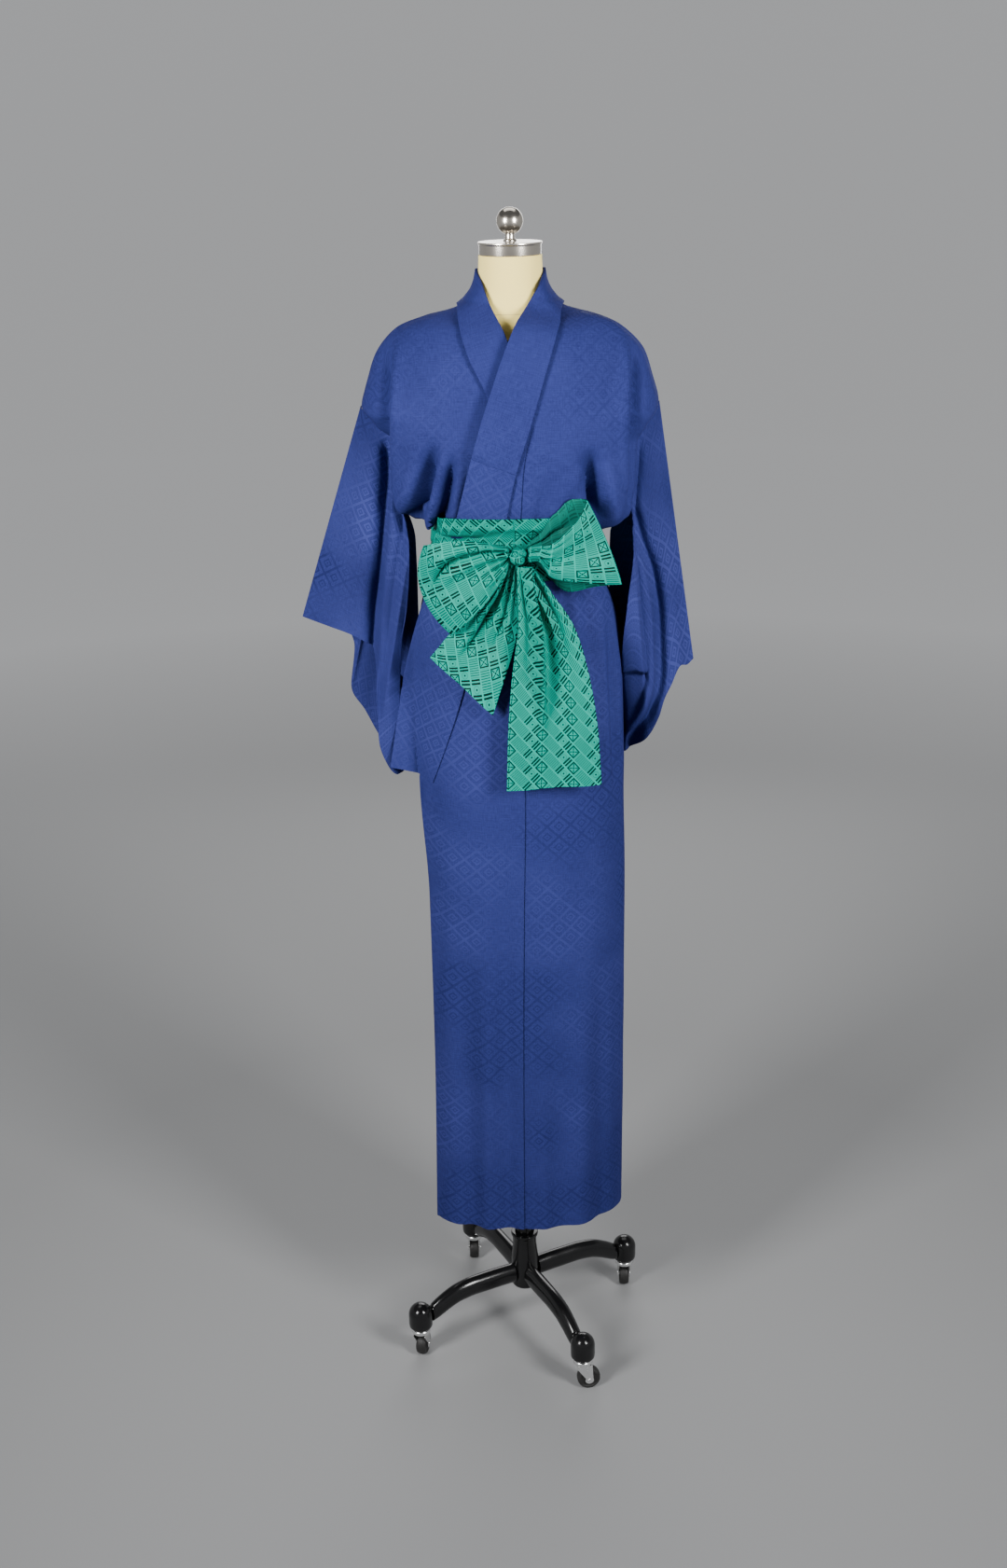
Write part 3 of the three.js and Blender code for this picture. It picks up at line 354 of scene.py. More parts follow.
class Look:
    """A material with one Principled shader, and one way to add any node."""

    def __init__(self, name, **settings):
        self.material = bpy.data.materials.new(name)
        self.material.use_nodes = True
        self.tree = self.material.node_tree
        self.shader = self.tree.nodes["Principled BSDF"]
        for key, value in settings.items():
            self.shader.inputs[key.replace("_", " ")].default_value = value

    def node(self, kind, settings=None, inputs=()):
        """Adds a node: its settings come first, then its sockets' values or links, by number or by name."""
        made = self.tree.nodes.new(kind)
        for key, value in (settings or {}).items():
            setattr(made, key, value)
        pairs = inputs.items() if isinstance(inputs, dict) else enumerate(inputs)
        for key, value in pairs:
            if isinstance(value, Val):
                self.tree.links.new(value.socket, made.inputs[key])
            else:
                made.inputs[key].default_value = value
        return made

    def out(self, kind, settings=None, inputs=(), socket=0):
        """One output of a new node."""
        return Val(self, self.node(kind, settings, inputs).outputs[socket])

    def blend(self, factor, a, b):
        """Colour a where factor is 0 and b where it is 1."""
        return self.out("ShaderNodeMix", {"data_type": "RGBA"}, {0: factor, 6: a, 7: b}, 2)

    def noise(self, where, scale, detail=4.0, rough=0.5):
        """Soft noise about 0.5, of so many waves to the metre."""
        return self.out("ShaderNodeTexNoise", None,
                        {"Vector": where, "Scale": scale, "Detail": detail, "Roughness": rough}, "Fac")

    def spot(self):
        """The place on the object, in metres."""
        return self.out("ShaderNodeTexCoord", None, (), "Object")

    def parts(self, vector):
        """The x, y and z of a vector."""
        split = self.node("ShaderNodeSeparateXYZ", None, {0: vector})
        return [Val(self, split.outputs[k]) for k in range(3)]

    def grain(self):
        """The cloth's own coordinates, across and along its grain, in metres."""
        return self.out("ShaderNodeUVMap", {"uv_map": "cloth"})

    def stretched(self, where, scale):
        """Coordinates drawn out along the axes whose scale is small."""
        return self.out("ShaderNodeMapping", None, {"Vector": where, "Scale": scale})

    def feed(self, name, value):
        """Links a value to one of the shader's sockets."""
        self.tree.links.new(value.socket, self.shader.inputs[name])

    def bump(self, height, distance, strength):
        """Bends the shading as if the surface rose by height times distance, in metres."""
        normal = self.out("ShaderNodeBump", None,
                          {"Strength": strength, "Distance": distance, "Height": height}, "Normal")
        self.feed("Normal", normal)


def rgb(r, g, b):
    """A solid colour, in linear light."""
    return (r, g, b, 1.0)


def in_cell(u, v, size):
    """The place, from -0.5 to 0.5 each way, within square cells that stand at 45 degrees to the grain."""
    to_cells = 0.7071 / size
    return ((u + v) * to_cells).fract() - 0.5, ((v - u) * to_cells).fract() - 0.5


DIAMOND = 0.0248         # metres across a cell of the damask
SILK_WEAVE = 5200.0      # radians to the metre: a thread each 1.21 mm
COVER_WEAVE = 7000.0     # and each 0.9 mm in the form's cover
RIB = 0.0009             # metres from rib to rib of the brocade


def blue_damask(name, strength, calm_above=9.0):
    """Tone-on-tone damask: a diamond lattice, a fine line inside it, and a square ring about a dot.

    The figure is painted darker than the ground in places and lighter in others, a painted sheen that stands
    in for damask turning to the light.
    Above the height calm_above (metres) it is fainter, where the cloth is drawn flat.
    """
    look = Look(name, Specular_IOR_Level=0.02)
    u, v, _ = look.parts(look.grain())
    a, b = in_cell(u, v, DIAMOND)
    radius = abs(a).larger(abs(b))
    lattice = radius.above(0.42, 0.03)
    ring = radius.above(0.135, 0.03) * radius.below(0.235, 0.03)
    dot = radius.below(0.055, 0.03)
    frame_line = radius.above(0.315, 0.02) * radius.below(0.345, 0.02) * 0.45
    figure = lattice.larger(ring).larger(dot).larger(frame_line)
    worn = look.noise(look.spot(), 7.0, 3.0)
    fade = look.noise(look.spot(), 160.0, 2.0)
    threads = look.noise(look.stretched(look.grain(), (1.0, 0.07, 1.0)), 900.0, 3.0)
    picks = look.noise(look.stretched(look.grain(), (0.07, 1.0, 1.0)), 760.0, 3.0)
    slubs = (threads + picks) * 0.5
    height = look.parts(look.spot())[2]
    calm = 1.0 - height.above(calm_above, 0.12) * 0.40
    figure = figure * ((worn * 1.5 - 0.05).smaller(1.0) * calm * strength)
    ground = look.blend((worn - 0.25) * 1.4, rgb(0.0152, 0.0184, 0.088), rgb(0.0214, 0.0262, 0.121))
    ground = look.blend((slubs - 0.38) * 2.4, ground, rgb(0.0312, 0.0405, 0.173))
    # Painted sheen: the figure's thread colour is painted lighter in some patches and darker in others,
    # standing in for damask turning to the light.
    painted_sheen = look.noise(look.spot(), 4.0, 2.0).above(0.5, 0.16)
    thread = look.blend(painted_sheen, rgb(0.0058, 0.0072, 0.042), rgb(0.0470, 0.0580, 0.222))
    look.feed("Base Color", look.blend(figure * 0.46, ground, thread))
    look.feed("Roughness", 0.68 + figure * 0.12 + (fade - 0.5) * 0.12)
    weave = (v * SILK_WEAVE).sine() * 0.5 + (u * SILK_WEAVE).sine() * 0.5
    look.bump(weave * 0.2 + slubs * 2.2 + figure, 0.00014, 0.6)
    return look.material


def green_brocade():
    """Ribbed ground with columns of bars, a ringed dot, bars, a star square and hatching.

    The repeat is charted on 13.7 by 59.5 units of 1.29 mm. Each column stands a quarter of the repeat
    further along than the last.
    """
    look = Look("green_silk", Specular_IOR_Level=0.06)
    u, v, _ = look.parts(look.grain())
    # x runs from a column's middle to its edge, and place runs along the repeat
    wide, long, step = 13.7, 59.5, 14.9
    column = u / 0.0177
    x = abs((column.fract() - 0.5) * wide)
    place = ((v * 775.0 + column.floor() * step) / long).fract() * long

    def pair_of_bars(middle):
        """Two bars across the column, either side of a place on the repeat."""
        return abs(abs(place - middle) - 1.75).below(1.0, 0.35)

    bars = pair_of_bars(4.0).larger(pair_of_bars(19.0)) * x.below(5.7, 0.3)
    from_dot, from_star = abs(place - 11.5), abs(place - 30.0)
    reach = x * x + from_dot * from_dot
    dot = reach.below(1.1, 0.8).larger(abs(reach - 13.0).below(2.0, 2.0) * 0.5)
    outer = x.larger(from_star)
    star = abs(outer - 5.2).below(0.72, 0.3)
    rays = abs(x - from_star).below(0.75, 0.45) * outer.below(4.1, 0.5) * outer.above(1.4, 0.3)
    star = star.larger(rays)
    star = star.larger((x + from_star).below(1.3, 0.4))
    hatch = (place / 2.5).fract().above(0.60, 0.22) * place.above(37.3, 0.4) * x.below(6.2, 0.3) * 0.72
    figure = bars.larger(dot).larger(star).larger(hatch)
    rib = (v * (2 * math.pi / RIB)).sine()
    fine = look.noise(look.spot(), 300.0, 2.0)
    tone = look.noise(look.spot(), 14.0, 2.0)
    # Painted shade: the inner face, marked by the cloth's inner-face attribute, is painted dark green with a
    # fainter figure. This stands in for the shadow inside the bow's loops.
    painted_inner_shade = look.out("ShaderNodeAttribute", {"attribute_name": "painted_shade_side"}, (), "Fac")
    ground = look.blend(tone, rgb(0.000, 0.215, 0.157), rgb(0.000, 0.312, 0.233))
    ground = look.blend(x.above(6.3, 0.3) * 0.30, ground, rgb(0.002, 0.440, 0.345))
    ground = look.blend((rib * 0.5 + 0.5) * 0.16, ground, rgb(0.001, 0.210, 0.150))
    ground = look.blend(painted_inner_shade * 0.72, ground, rgb(0.000, 0.060, 0.043))
    look.feed("Base Color", look.blend(figure * (0.97 - painted_inner_shade * 0.5), ground, rgb(0.000, 0.005, 0.003)))
    look.feed("Roughness", 0.46 + figure * 0.14 + (fine - 0.5) * 0.1)
    look.bump(rib * 0.5 + figure * -0.9 + fine * 0.5, 0.00013, 0.5)
    return look.material


def cream_cotton():
    """Plain woven cotton over the form, with a seam round the neck's base and one down the front."""
    look = Look("cream_linen", Sheen_Weight=0.2, Specular_IOR_Level=0.3)
    spot = look.spot()
    tone = look.noise(spot, 12.0, 3.0)
    x, y, z = look.parts(spot)
    thread = ((z * COVER_WEAVE).sine() + ((x + y) * COVER_WEAVE).sine()) * 0.5
    grain = look.noise(spot, 700.0, 3.0)
    neck_base = 1.7910
    seam = abs(z + y * 0.16 - neck_base).below(0.0006, 0.0006)
    seam = seam + abs(x).below(0.0005, 0.0005) * z.below(neck_base, 0.001)
    cloth = look.blend(tone, rgb(0.98, 0.75, 0.21), rgb(1.0, 0.83, 0.27))
    look.feed("Base Color", look.blend(seam * 0.6, cloth, rgb(0.42, 0.30, 0.13)))
    look.feed("Roughness", 0.82 + (grain - 0.5) * 0.15)
    look.bump(thread * 0.5 + grain, 0.00012, 0.5)
    return look.material


def brushed_nickel():
    """Turned metal with fine marks round it and a slightly warm tone."""
    look = Look("brushed_metal", Metallic=1.0, Specular_IOR_Level=0.5)
    spot = look.spot()
    marks = look.noise(look.stretched(spot, (1.0, 1.0, 300.0)), 8.0, 5.0, 0.6)
    smear = look.noise(spot, 25.0, 2.0)
    look.feed("Base Color", look.blend(smear, rgb(0.57, 0.52, 0.45), rgb(0.72, 0.67, 0.59)))
    look.feed("Roughness", 0.15 + marks * 0.12 + (smear - 0.5) * 0.04)
    look.bump(marks, 0.00002, 0.15)
    return look.material


def gloss_black():
    """Powder-coated black with a faint orange-peel surface and light wear of the gloss."""
    look = Look("black_paint", Specular_IOR_Level=0.28, Coat_Weight=0.22, Coat_Roughness=0.08)
    spot = look.spot()
    peel = look.noise(spot, 420.0, 2.0)
    dust = look.noise(spot, 34.0, 4.0)
    look.feed("Base Color", look.blend(dust, rgb(0.0035, 0.0035, 0.0038), rgb(0.008, 0.008, 0.0085)))
    look.feed("Roughness", 0.17 + (dust - 0.4) * 0.24)
    look.bump(peel, 0.00010, 0.25)
    return look.material


def bright_chrome():
    """Bright plated steel with faint smears."""
    look = Look("chrome", Metallic=1.0)
    smear = look.noise(look.spot(), 90.0, 4.0)
    look.feed("Base Color", look.blend(smear, rgb(0.80, 0.80, 0.80), rgb(0.92, 0.92, 0.91)))
    look.feed("Roughness", 0.14 + smear * 0.20)
    return look.material


def wheel_rubber():
    """Satin black rubber, scuffed on its tread."""
    look = Look("rubber", Specular_IOR_Level=0.4)
    spot = look.spot()
    scuff = look.noise(spot, 140.0, 5.0)
    look.feed("Base Color", look.blend(scuff, rgb(0.007, 0.007, 0.007), rgb(0.026, 0.025, 0.024)))
    look.feed("Roughness", 0.42 + scuff * 0.25)
    look.bump(scuff, 0.0002, 0.4)
    return look.material


BLUE = blue_damask("blue_silk", 0.95, calm_above=1.48)
GREEN, CREAM = green_brocade(), cream_cotton()
BLUE_SLEEVE = blue_damask("blue_silk_sleeve", 1.6)
BLUE_PLAIN = blue_damask("blue_silk_collar", 0.35)
NICKEL, BLACK, CHROME, RUBBER = brushed_nickel(), gloss_black(), bright_chrome(), wheel_rubber()


def finish_piece(piece, material, body, slot, *nodes):
    """Gives a piece its material, the body that it rides on and the solids that it stands for."""
    piece.data.materials.clear()
    piece.data.materials.append(material)
    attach(piece, body)
    if nodes:
        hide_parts(*nodes)


# ---------------------------------------------------------------- the robe's envelope
SECTIONS = np.array([
    # z; half width towards -X and towards +X; depth in front and behind; how square
    [300, 148, 168, 141, 140, 2.40], [600, 146, 170, 141, 140, 2.40], [865, 146, 170, 140, 139, 2.40],
    [1040, 150, 168, 138, 139, 2.35], [1190, 154, 166, 134, 138, 2.30], [1340, 149, 157, 120, 122, 2.20],
    [1410, 126, 130, 102, 102, 2.15], [1450, 108, 112, 93, 90, 2.10], [1480, 109, 114, 94, 90, 2.10],
    [1494, 140, 150, 99, 98, 2.20], [1506, 168, 182, 108, 108, 2.30], [1535, 182, 188, 121, 116, 2.30],
    [1610, 193, 189, 131, 114, 2.36], [1640, 209, 203, 129.5, 112, 2.22], [1664, 227, 220, 126, 110, 2.10],
    [1700, 217, 211, 120, 106, 2.12], [1740, 203, 198, 107.5, 99, 2.0], [1780, 167, 157, 84, 84, 2.0],
    [1799, 112, 109, 69, 73, 2.0], [1814, 74, 73, 58, 63, 2.0]])
NUMBER = np.arange(len(SECTIONS))
Z_AT, MINUS_X_AT, PLUS_X_AT, FRONT_AT, BACK_AT, SQUARE_AT = (
    curve(NUMBER, SECTIONS[:, k]) for k in range(6))
FINE_V = np.linspace(0, NUMBER[-1], 6000)
FINE_Z = Z_AT(FINE_V)
# Heights: the shoulder ridge at the neck and at the sleeve seam, and the cloth's lip over the sash;
# the hem, the collar's foot, the skirt's top beneath the sash, the sash's upper edge behind, and the
# overlap's point.
NECK_Z, SEAM_Z, LIP_Z = 1814.0, 1664.0, 1506.0
HEM_Z, COLLAR_FOOT_Z, SKIRT_TOP_Z, SASH_TOP_Z, POINT_Z = 300, 1092, 1400, 1486, 1652
# How far the collar, the upper front and the strip on the collar stand off what they lie on.
COLLAR_LIFT, WRAP, STRIP_LIFT = 3.9, 11.7, 2.1
# The shares of the half width at which the upper front begins to hang flat and the lower wrap ends.
FRONT_REACH, WRAP_REACH = 0.93, 0.85


def level(z):
    """The section number at height z."""
    return np.interp(z, FINE_Z, FINE_V)


def envelope(phi, v):
    """A superellipse section: phi round from the front centre towards +X, v the section number."""
    phi, v = np.broadcast_arrays(np.asarray(phi, float), np.asarray(v, float))
    s, c = np.sin(phi), np.cos(phi)
    wide = np.where(s > 0, PLUS_X_AT(v), MINUS_X_AT(v))
    deep = np.where(c > 0, FRONT_AT(v), BACK_AT(v))
    power = SQUARE_AT(v)
    r = (np.abs(s) ** power + np.abs(c) ** power) ** (-1 / power)
    return np.stack([wide * r * s, -deep * r * c, Z_AT(v)], -1)


def lifted(phi, v, lift):
    """A point of the envelope moved out along its surface direction."""
    phi, v, lift = np.broadcast_arrays(*(np.asarray(a, float) for a in (phi, v, lift)))
    step = 1e-3
    low, high = np.maximum(v - step, 0), np.minimum(v + step, NUMBER[-1])
    round_ = envelope(phi + step, v) - envelope(phi - step, v)
    up = envelope(phi, high) - envelope(phi, low)
    return envelope(phi, v) + unit(np.cross(round_, up)) * lift[..., None]


def settled(points):
    """Cloth points lowered where the shoulders run up to the neck: 5 mm beside it, none 125 mm out."""
    near = ease((125 - np.abs(points[..., 0])) / 45) * ease((points[..., 2] - 1770) / 30)
    return points - np.stack([0 * near, 0 * near, 5 * near], -1)


def angle_at(x, v):
    """The angle at which the envelope's front has the place x across it."""
    wide = np.where(np.asarray(x) > 0, PLUS_X_AT(v), MINUS_X_AT(v))
    power = SQUARE_AT(v)
    q = np.minimum(0.9999, np.abs(x) / wide)
    return np.sign(x) * np.arctan2(q, (1 - q**power) ** (1 / power))


def front_point(x, z, lift):
    """A point on the front at (x, z); past FRONT_REACH of the half width the cloth hangs flat."""
    x, z, lift = np.broadcast_arrays(*(np.asarray(a, float) for a in (x, z, lift)))
    v = level(z)
    wide = np.where(x > 0, PLUS_X_AT(v), MINUS_X_AT(v))
    held = np.sign(x) * np.minimum(np.abs(x), FRONT_REACH * wide)
    point = lifted(angle_at(held, v), v, lift)
    return point + np.stack([x - held, 0 * x, 0 * x], -1)


def wrapped_point(x, z, lift):
    """A point on the lower wrap: it keeps to the envelope and stays short of the side."""
    v = level(np.broadcast_arrays(x, z)[1])
    x = np.sign(x) * np.minimum(np.abs(x), WRAP_REACH * MINUS_X_AT(v))
    return lifted(angle_at(x, v), v, lift)


def wrap_rise(z):
    """How far the upper front stands off the lower one; it comes down towards the neck."""
    return WRAP * ease((NECK_Z - 2 - z) / 45)


# ---------------------------------------------------------------- creases
# Soft folds as rows of (x0, z0, x1, z1, width, height): a trough where height is negative. Each runs from
# its first point, where it is deepest, to its second, where it has died away.
FRONT_FOLDS = [
    (-147, 1512, -113, 1640, 11, -33.0), (-126, 1504, -101, 1630, 8, 12.0),
    (-111, 1504, -86, 1626, 7, -24.0), (-92, 1502, -76, 1590, 7, 7.0),
    (-77, 1502, -62, 1612, 5, -8.0), (-168, 1508, -150, 1590, 10, 8.0),
    (34, 1508, 46, 1580, 9, -5.0), (58, 1508, 84, 1600, 13, 4.0), (88, 1508, 98, 1590, 9, -6.0),
    (122, 1530, 110, 1624, 10, -31.0), (118, 1512, 126, 1570, 8, -9.0), (146, 1520, 134, 1604, 14, 12.0),
    (96, 1540, 88, 1600, 9, 6.0), (168, 1510, 158, 1560, 8, -6.0),
    (-150, 1772, -120, 1640, 16, -3.0), (-128, 1782, -96, 1660, 12, 2.2), (-104, 1790, -72, 1700, 10, -2.0),
    (150, 1760, 128, 1650, 16, -3.0), (120, 1778, 104, 1690, 13, 2.0), (92, 1650, 60, 1560, 20, 2.2),
    (-133, 1630, -70, 1627, 3, -0.9), (132, 1661, 108, 1652, 3, -0.8),
]
BACK_FOLDS = [
    (-120, 1498, -96, 1640, 13, -9.0), (-92, 1498, -78, 1610, 9, 5.0), (-62, 1498, -56, 1600, 9, -6.0),
    (-30, 1498, -34, 1570, 9, -3.5), (8, 1498, 2, 1600, 8, -4.0), (36, 1498, 42, 1610, 10, -6.5),
    (62, 1498, 60, 1580, 8, 3.5), (88, 1498, 82, 1630, 12, -8.5), (118, 1498, 108, 1600, 9, 5.0),
    (142, 1500, 132, 1600, 10, -6.5), (-150, 1500, -140, 1600, 10, 4.0), (-150, 1770, -60, 1650, 20, -3.0),
    (140, 1762, 50, 1660, 20, -2.6), (0, 1780, 0, 1690, 26, 2.0),
]
SKIRT_FOLDS = [
    (-84, 305, -88, 940, 15, -8.5), (-60, 310, -50, 1000, 10, 4.0), (-26, 300, -22, 1040, 13, -6.5),
    (150, 1140, 139, 1400, 5, -5.0), (139, 1120, 128, 1400, 6, 3.6), (160, 1130, 152, 1380, 6, 3.0),
    (60, 300, 64, 760, 18, -4.0), (96, 300, 98, 820, 16, 4.0), (130, 300, 128, 900, 12, -5.0),
    (30, 1395, 26, 1300, 9, -3.0), (70, 1400, 78, 1250, 9, -4.2), (104, 1400, 116, 1230, 9, -4.4),
    (-52, 1398, -62, 1280, 9, -3.6), (34, 300, 30, 640, 10, 2.6), (88, 1400, 96, 1270, 8, 2.6),
    (-21, 1248, -60, 1190, 5, -2.4), (-34, 1262, -76, 1198, 6, 1.8), (10, 860, 40, 700, 26, 1.6),
    (-120, 700, -60, 560, 30, 1.4), (90, 980, 30, 1080, 26, 1.4),
]
SKIRT_BACK_FOLDS = [
    (-110, 300, -104, 900, 16, -4.2), (-62, 300, -66, 1000, 15, 3.2), (-20, 300, -24, 800, 12, -3.4),
    (34, 300, 30, 950, 15, -3.6), (76, 300, 78, 860, 14, 3.4), (118, 300, 112, 1000, 15, -4.2),
    (-80, 1400, -96, 1240, 10, -4.0), (-44, 1400, -50, 1260, 9, -3.0), (-8, 1400, -6, 1280, 9, -3.4),
    (30, 1400, 36, 1250, 9, -3.0), (66, 1400, 80, 1230, 10, -4.2), (102, 1400, 124, 1240, 9, -3.4),
]


def folds(x, z, table, run=0.55):
    """Adds up a table of creases at (x, z): a bell across each line, fading along it past run."""
    total = np.zeros(np.broadcast(x, z).shape)
    for x0, z0, x1, z1, width, height in table:
        dx, dz = x1 - x0, z1 - z0
        length = math.hypot(dx, dz)
        t = ((x - x0) * dx + (z - z0) * dz) / length**2
        across = ((x - x0) * dz - (z - z0) * dx) / length
        wider = width * np.clip(1.0 + 0.35 * t, 0.5, 1.5)
        total += height * ease((1.0 - t) / run) * ease((t + 0.28) / 0.25) * bell(across, wider)
    return total


def ripples(x, z, seed, amount=0.5):
    """Small uneven waves, as pressed silk keeps: a sum of sines of uneven length and direction."""
    rng = np.random.default_rng(seed)
    total = np.zeros(np.broadcast(x, z).shape)
    for _ in range(9):
        k = rng.uniform(0.008, 0.035)
        a = rng.normal(0, 0.5)
        phase = rng.uniform(0, 2 * math.pi)
        total += np.sin(k * (x * math.cos(a) + 0.45 * z * math.sin(a)) * 2 * math.pi / 1.6 + phase)
    return amount * total / 3.0


# ---------------------------------------------------------------- body panels
OVERLAP = np.array([
    # z; x of the seam and of the free edge; how far that edge stands forward
    [HEM_Z, -2, -139, 36], [650, 1, -134, 20], [890, 5, -135, 6], [COLLAR_FOOT_Z, 9, -145, 4],
    [1245, 8, -145, 0], [1450, 6, -110, 0], [1580, 12, -60, 0], [POINT_Z, 25, -20, 0]])
SEAM_X, FREE_X, STAND = (curve(OVERLAP[:, 0], OVERLAP[:, k]) for k in (1, 2, 3))
COLLAR = np.array([
    # x and z of the sewn edge, x and z of the free edge
    [-123, 1094, -186, 1112], [-78, 1245, -158, 1268], [-48, 1360, -126, 1378], [-38, 1410, -110, 1424],
    [-28, 1450, -98, 1464], [-20, 1484, -88, 1500], [-14, 1515, -78, 1533], [1, 1582, -60, 1603],
    [24, 1652, -39, 1672], [45, 1720, -15, 1736], [60, 1764, 4, 1778]])
SEWN_X = curve(np.r_[COLLAR[:, 1], 1794, NECK_Z], np.r_[COLLAR[:, 0], 71, 73])
SIDE_DEG = 78.0        # the side seam, round from the front centre
TUCK = 8.0             # how far a panel's edge runs in under the collar
HALF_SEAM = 0.2        # half the opening along a sewn edge
RIDGE_FALL = 59        # fall of the shoulder ridge over most of its width
SILK = 1.4             # the thickness of the robe's panels
PANEL_COLS = 62        # points across a panel
SHOULDER_ROWS = 57     # rows from the lip to the shoulder ridge
SEAM_GROOVE = 2.2      # how deep the overlap's seam is drawn in


def inner_x(z):
    """Where a body panel's inner edge runs: the overlap's seam, then beneath the collar."""
    beneath = SEWN_X(z) - TUCK * (0.35 + 0.65 * ease((1812 - z) / 22))
    return np.where(z < POINT_Z, SEAM_X(z), beneath)


def wrap_lift(phi, z):
    """The upper front's lift, gone where the cloth turns to the side."""
    return wrap_rise(z) * ease((82 * DEG - np.abs(phi)) / (22 * DEG))


def ridge_z(w):
    """The shoulder ridge's height from the neck (w = 0) to the sleeve seam (w = 1)."""
    return NECK_Z - RIDGE_FALL * w - (NECK_Z - SEAM_Z - RIDGE_FALL) * w**8


def body_points(side):
    """Up the front, over the shoulder and down the back, with its folds; also cloth coordinates.

    Below the lip a row is at one height; above it the rows close on the shoulder ridge, where the angle
    is a right angle for every place across.
    """
    t = np.linspace(0, 1, PANEL_COLS)
    low_z = np.r_[np.arange(HEM_Z, SKIRT_TOP_Z, 9.0), np.arange(SKIRT_TOP_Z, SASH_TOP_Z, 5.0),
                  np.arange(SASH_TOP_Z, LIP_Z, 2.0)]
    high_p = 1 - (1 - np.linspace(0, 1, SHOULDER_ROWS + 1)[1:]) ** 1.25

    def outer(z, wide, behind):
        """The angle of a panel's outer edge: the side seam, opening to the armhole above the lip."""
        angle = mix(SIDE_DEG, 90, ease((z - LIP_Z) / (SEAM_Z - LIP_Z))) * DEG
        if behind:
            angle = np.where(z > LIP_Z, math.pi - angle, angle)
        return side * (angle + (HALF_SEAM / wide) * (1 if behind else -1))

    neck_turn = curve([1790, 1797, 1804, 1810, NECK_Z], [180, 168, 148, 120, 90])

    def face(behind):
        """The front or the back of the panel: rows from the hem up, each from the inner edge outwards."""
        # p is 0 up to the lip and 1 on the ridge; w is 0 at the inner edge and 1 at the outer one
        z_low = np.repeat(low_z[:, None], len(t), 1)
        w_low = np.repeat(t[None], len(low_z), 0)
        power = 1 + 1.3 * high_p[:, None]
        w_high = t[None] ** power
        z_high = mix(LIP_Z, ridge_z(w_high), high_p[:, None])
        z = np.concatenate([z_low, z_high])
        w = np.concatenate([w_low, w_high])
        p = np.concatenate([np.zeros_like(z_low), np.repeat(high_p[:, None], len(t), 1)])
        v = level(z)
        wide = PLUS_X_AT(v) if side > 0 else MINUS_X_AT(v)
        if behind:
            start = side * (neck_turn(z) * DEG - HALF_SEAM / BACK_AT(v))
        else:
            start = angle_at(side * (inner_x(z) + HALF_SEAM), v)
        end = np.where(p >= 1, side * 90 * DEG, outer(z, wide, behind))
        phi = mix(start, end, np.where(p >= 1, 1.0, w ** (1 - np.minimum(p, 0.9999))))
        lift = wrap_lift(phi, z) if (side > 0 and not behind) else np.zeros_like(z)
        points = lifted(phi, v, lift)
        x = points[..., 0]
        ridge = ease((1 - p) / 0.12)
        edge = ease(w / 0.10) * ease((1 - w) / 0.05)
        upper, lower = (BACK_FOLDS, SKIRT_BACK_FOLDS) if behind else (FRONT_FOLDS, SKIRT_FOLDS)
        above = ease((z - SASH_TOP_Z + 2) / 12)
        skirt = 1 - ease((z - SKIRT_TOP_Z) / 20)
        depth = (folds(x, z, upper) * above + folds(x, z, lower) * skirt) * edge
        depth = depth + ripples(x, z, 5 + side + 2 * behind) * edge * np.where(z > 1480, 1, 0.55)
        if not behind:
            seam = np.abs(x) - np.abs(SEAM_X(z))
            depth = depth - SEAM_GROOVE * bell(seam, 5.0) * ease((POINT_Z + 8 - z) / 20)
            depth = depth + arm_valley(x, z, side) * ease((1 - p) / 0.06)
        else:
            depth = depth + 0.6 * arm_valley(x, z, side) * ease((1 - p) / 0.06)
        normal = lifted(phi, v, lift + 1.0) - points
        return settled(points + normal * (depth * ridge)[..., None]), body_uv(points, phi, v, behind)

    front, front_uv = face(False)
    back, back_uv = face(True)
    return np.concatenate([front, back[::-1][1:]]), np.concatenate([front_uv, back_uv[::-1][1:]])


def arm_valley(x, z, side):
    """The fold where the body turns back to the sleeve seam: 15 mm deep on its line, 5 proud beside it."""
    if side > 0:
        line = curve([1480, 1547, 1643, 1727, 1775], [181, 176, 176, 178, 165])(z)
    else:
        line = curve([1480, 1560, 1669, 1750, 1775], [187, 189, 186, 178, 168])(z)
    reach = ease((z - 1500) / 30) * ease((1772 - z) / 60)
    d = np.abs(x) - line
    return reach * (-15 * bell(d - 3, 7.5) + 5 * bell(d + 12, 9))


def length_table(behind):
    """How far cloth reaches over the chest or the back from z 1500 up, for places x across (mm)."""
    x, z = np.linspace(0, 232, 59), np.linspace(1500, NECK_Z, 80)
    xx, zz = np.meshgrid(x, z, indexing="ij")
    v = level(zz)
    inside = np.minimum(xx, 0.97 * MINUS_X_AT(v))
    depth = lifted(math.pi - angle_at(inside, v) if behind else angle_at(inside, v), v, 0.0)[..., 1]
    run = np.hypot(np.diff(depth, axis=1), np.diff(zz, axis=1))
    return x, z, np.concatenate([np.zeros((len(x), 1)), np.cumsum(run, 1)], 1)


def look_up(table, x, z):
    """Reads a table of rows x and columns z between its places."""
    xs, zs, values = table
    i = np.clip((x - xs[0]) / (xs[1] - xs[0]), 0, len(xs) - 1.001)
    j = np.clip((z - zs[0]) / (zs[1] - zs[0]), 0, len(zs) - 1.001)
    i0, j0 = i.astype(int), j.astype(int)
    fi, fj = i - i0, j - j0
    low = values[i0, j0] * (1 - fj) + values[i0, j0 + 1] * fj
    high = values[i0 + 1, j0] * (1 - fj) + values[i0 + 1, j0 + 1] * fj
    return low * (1 - fi) + high * fi


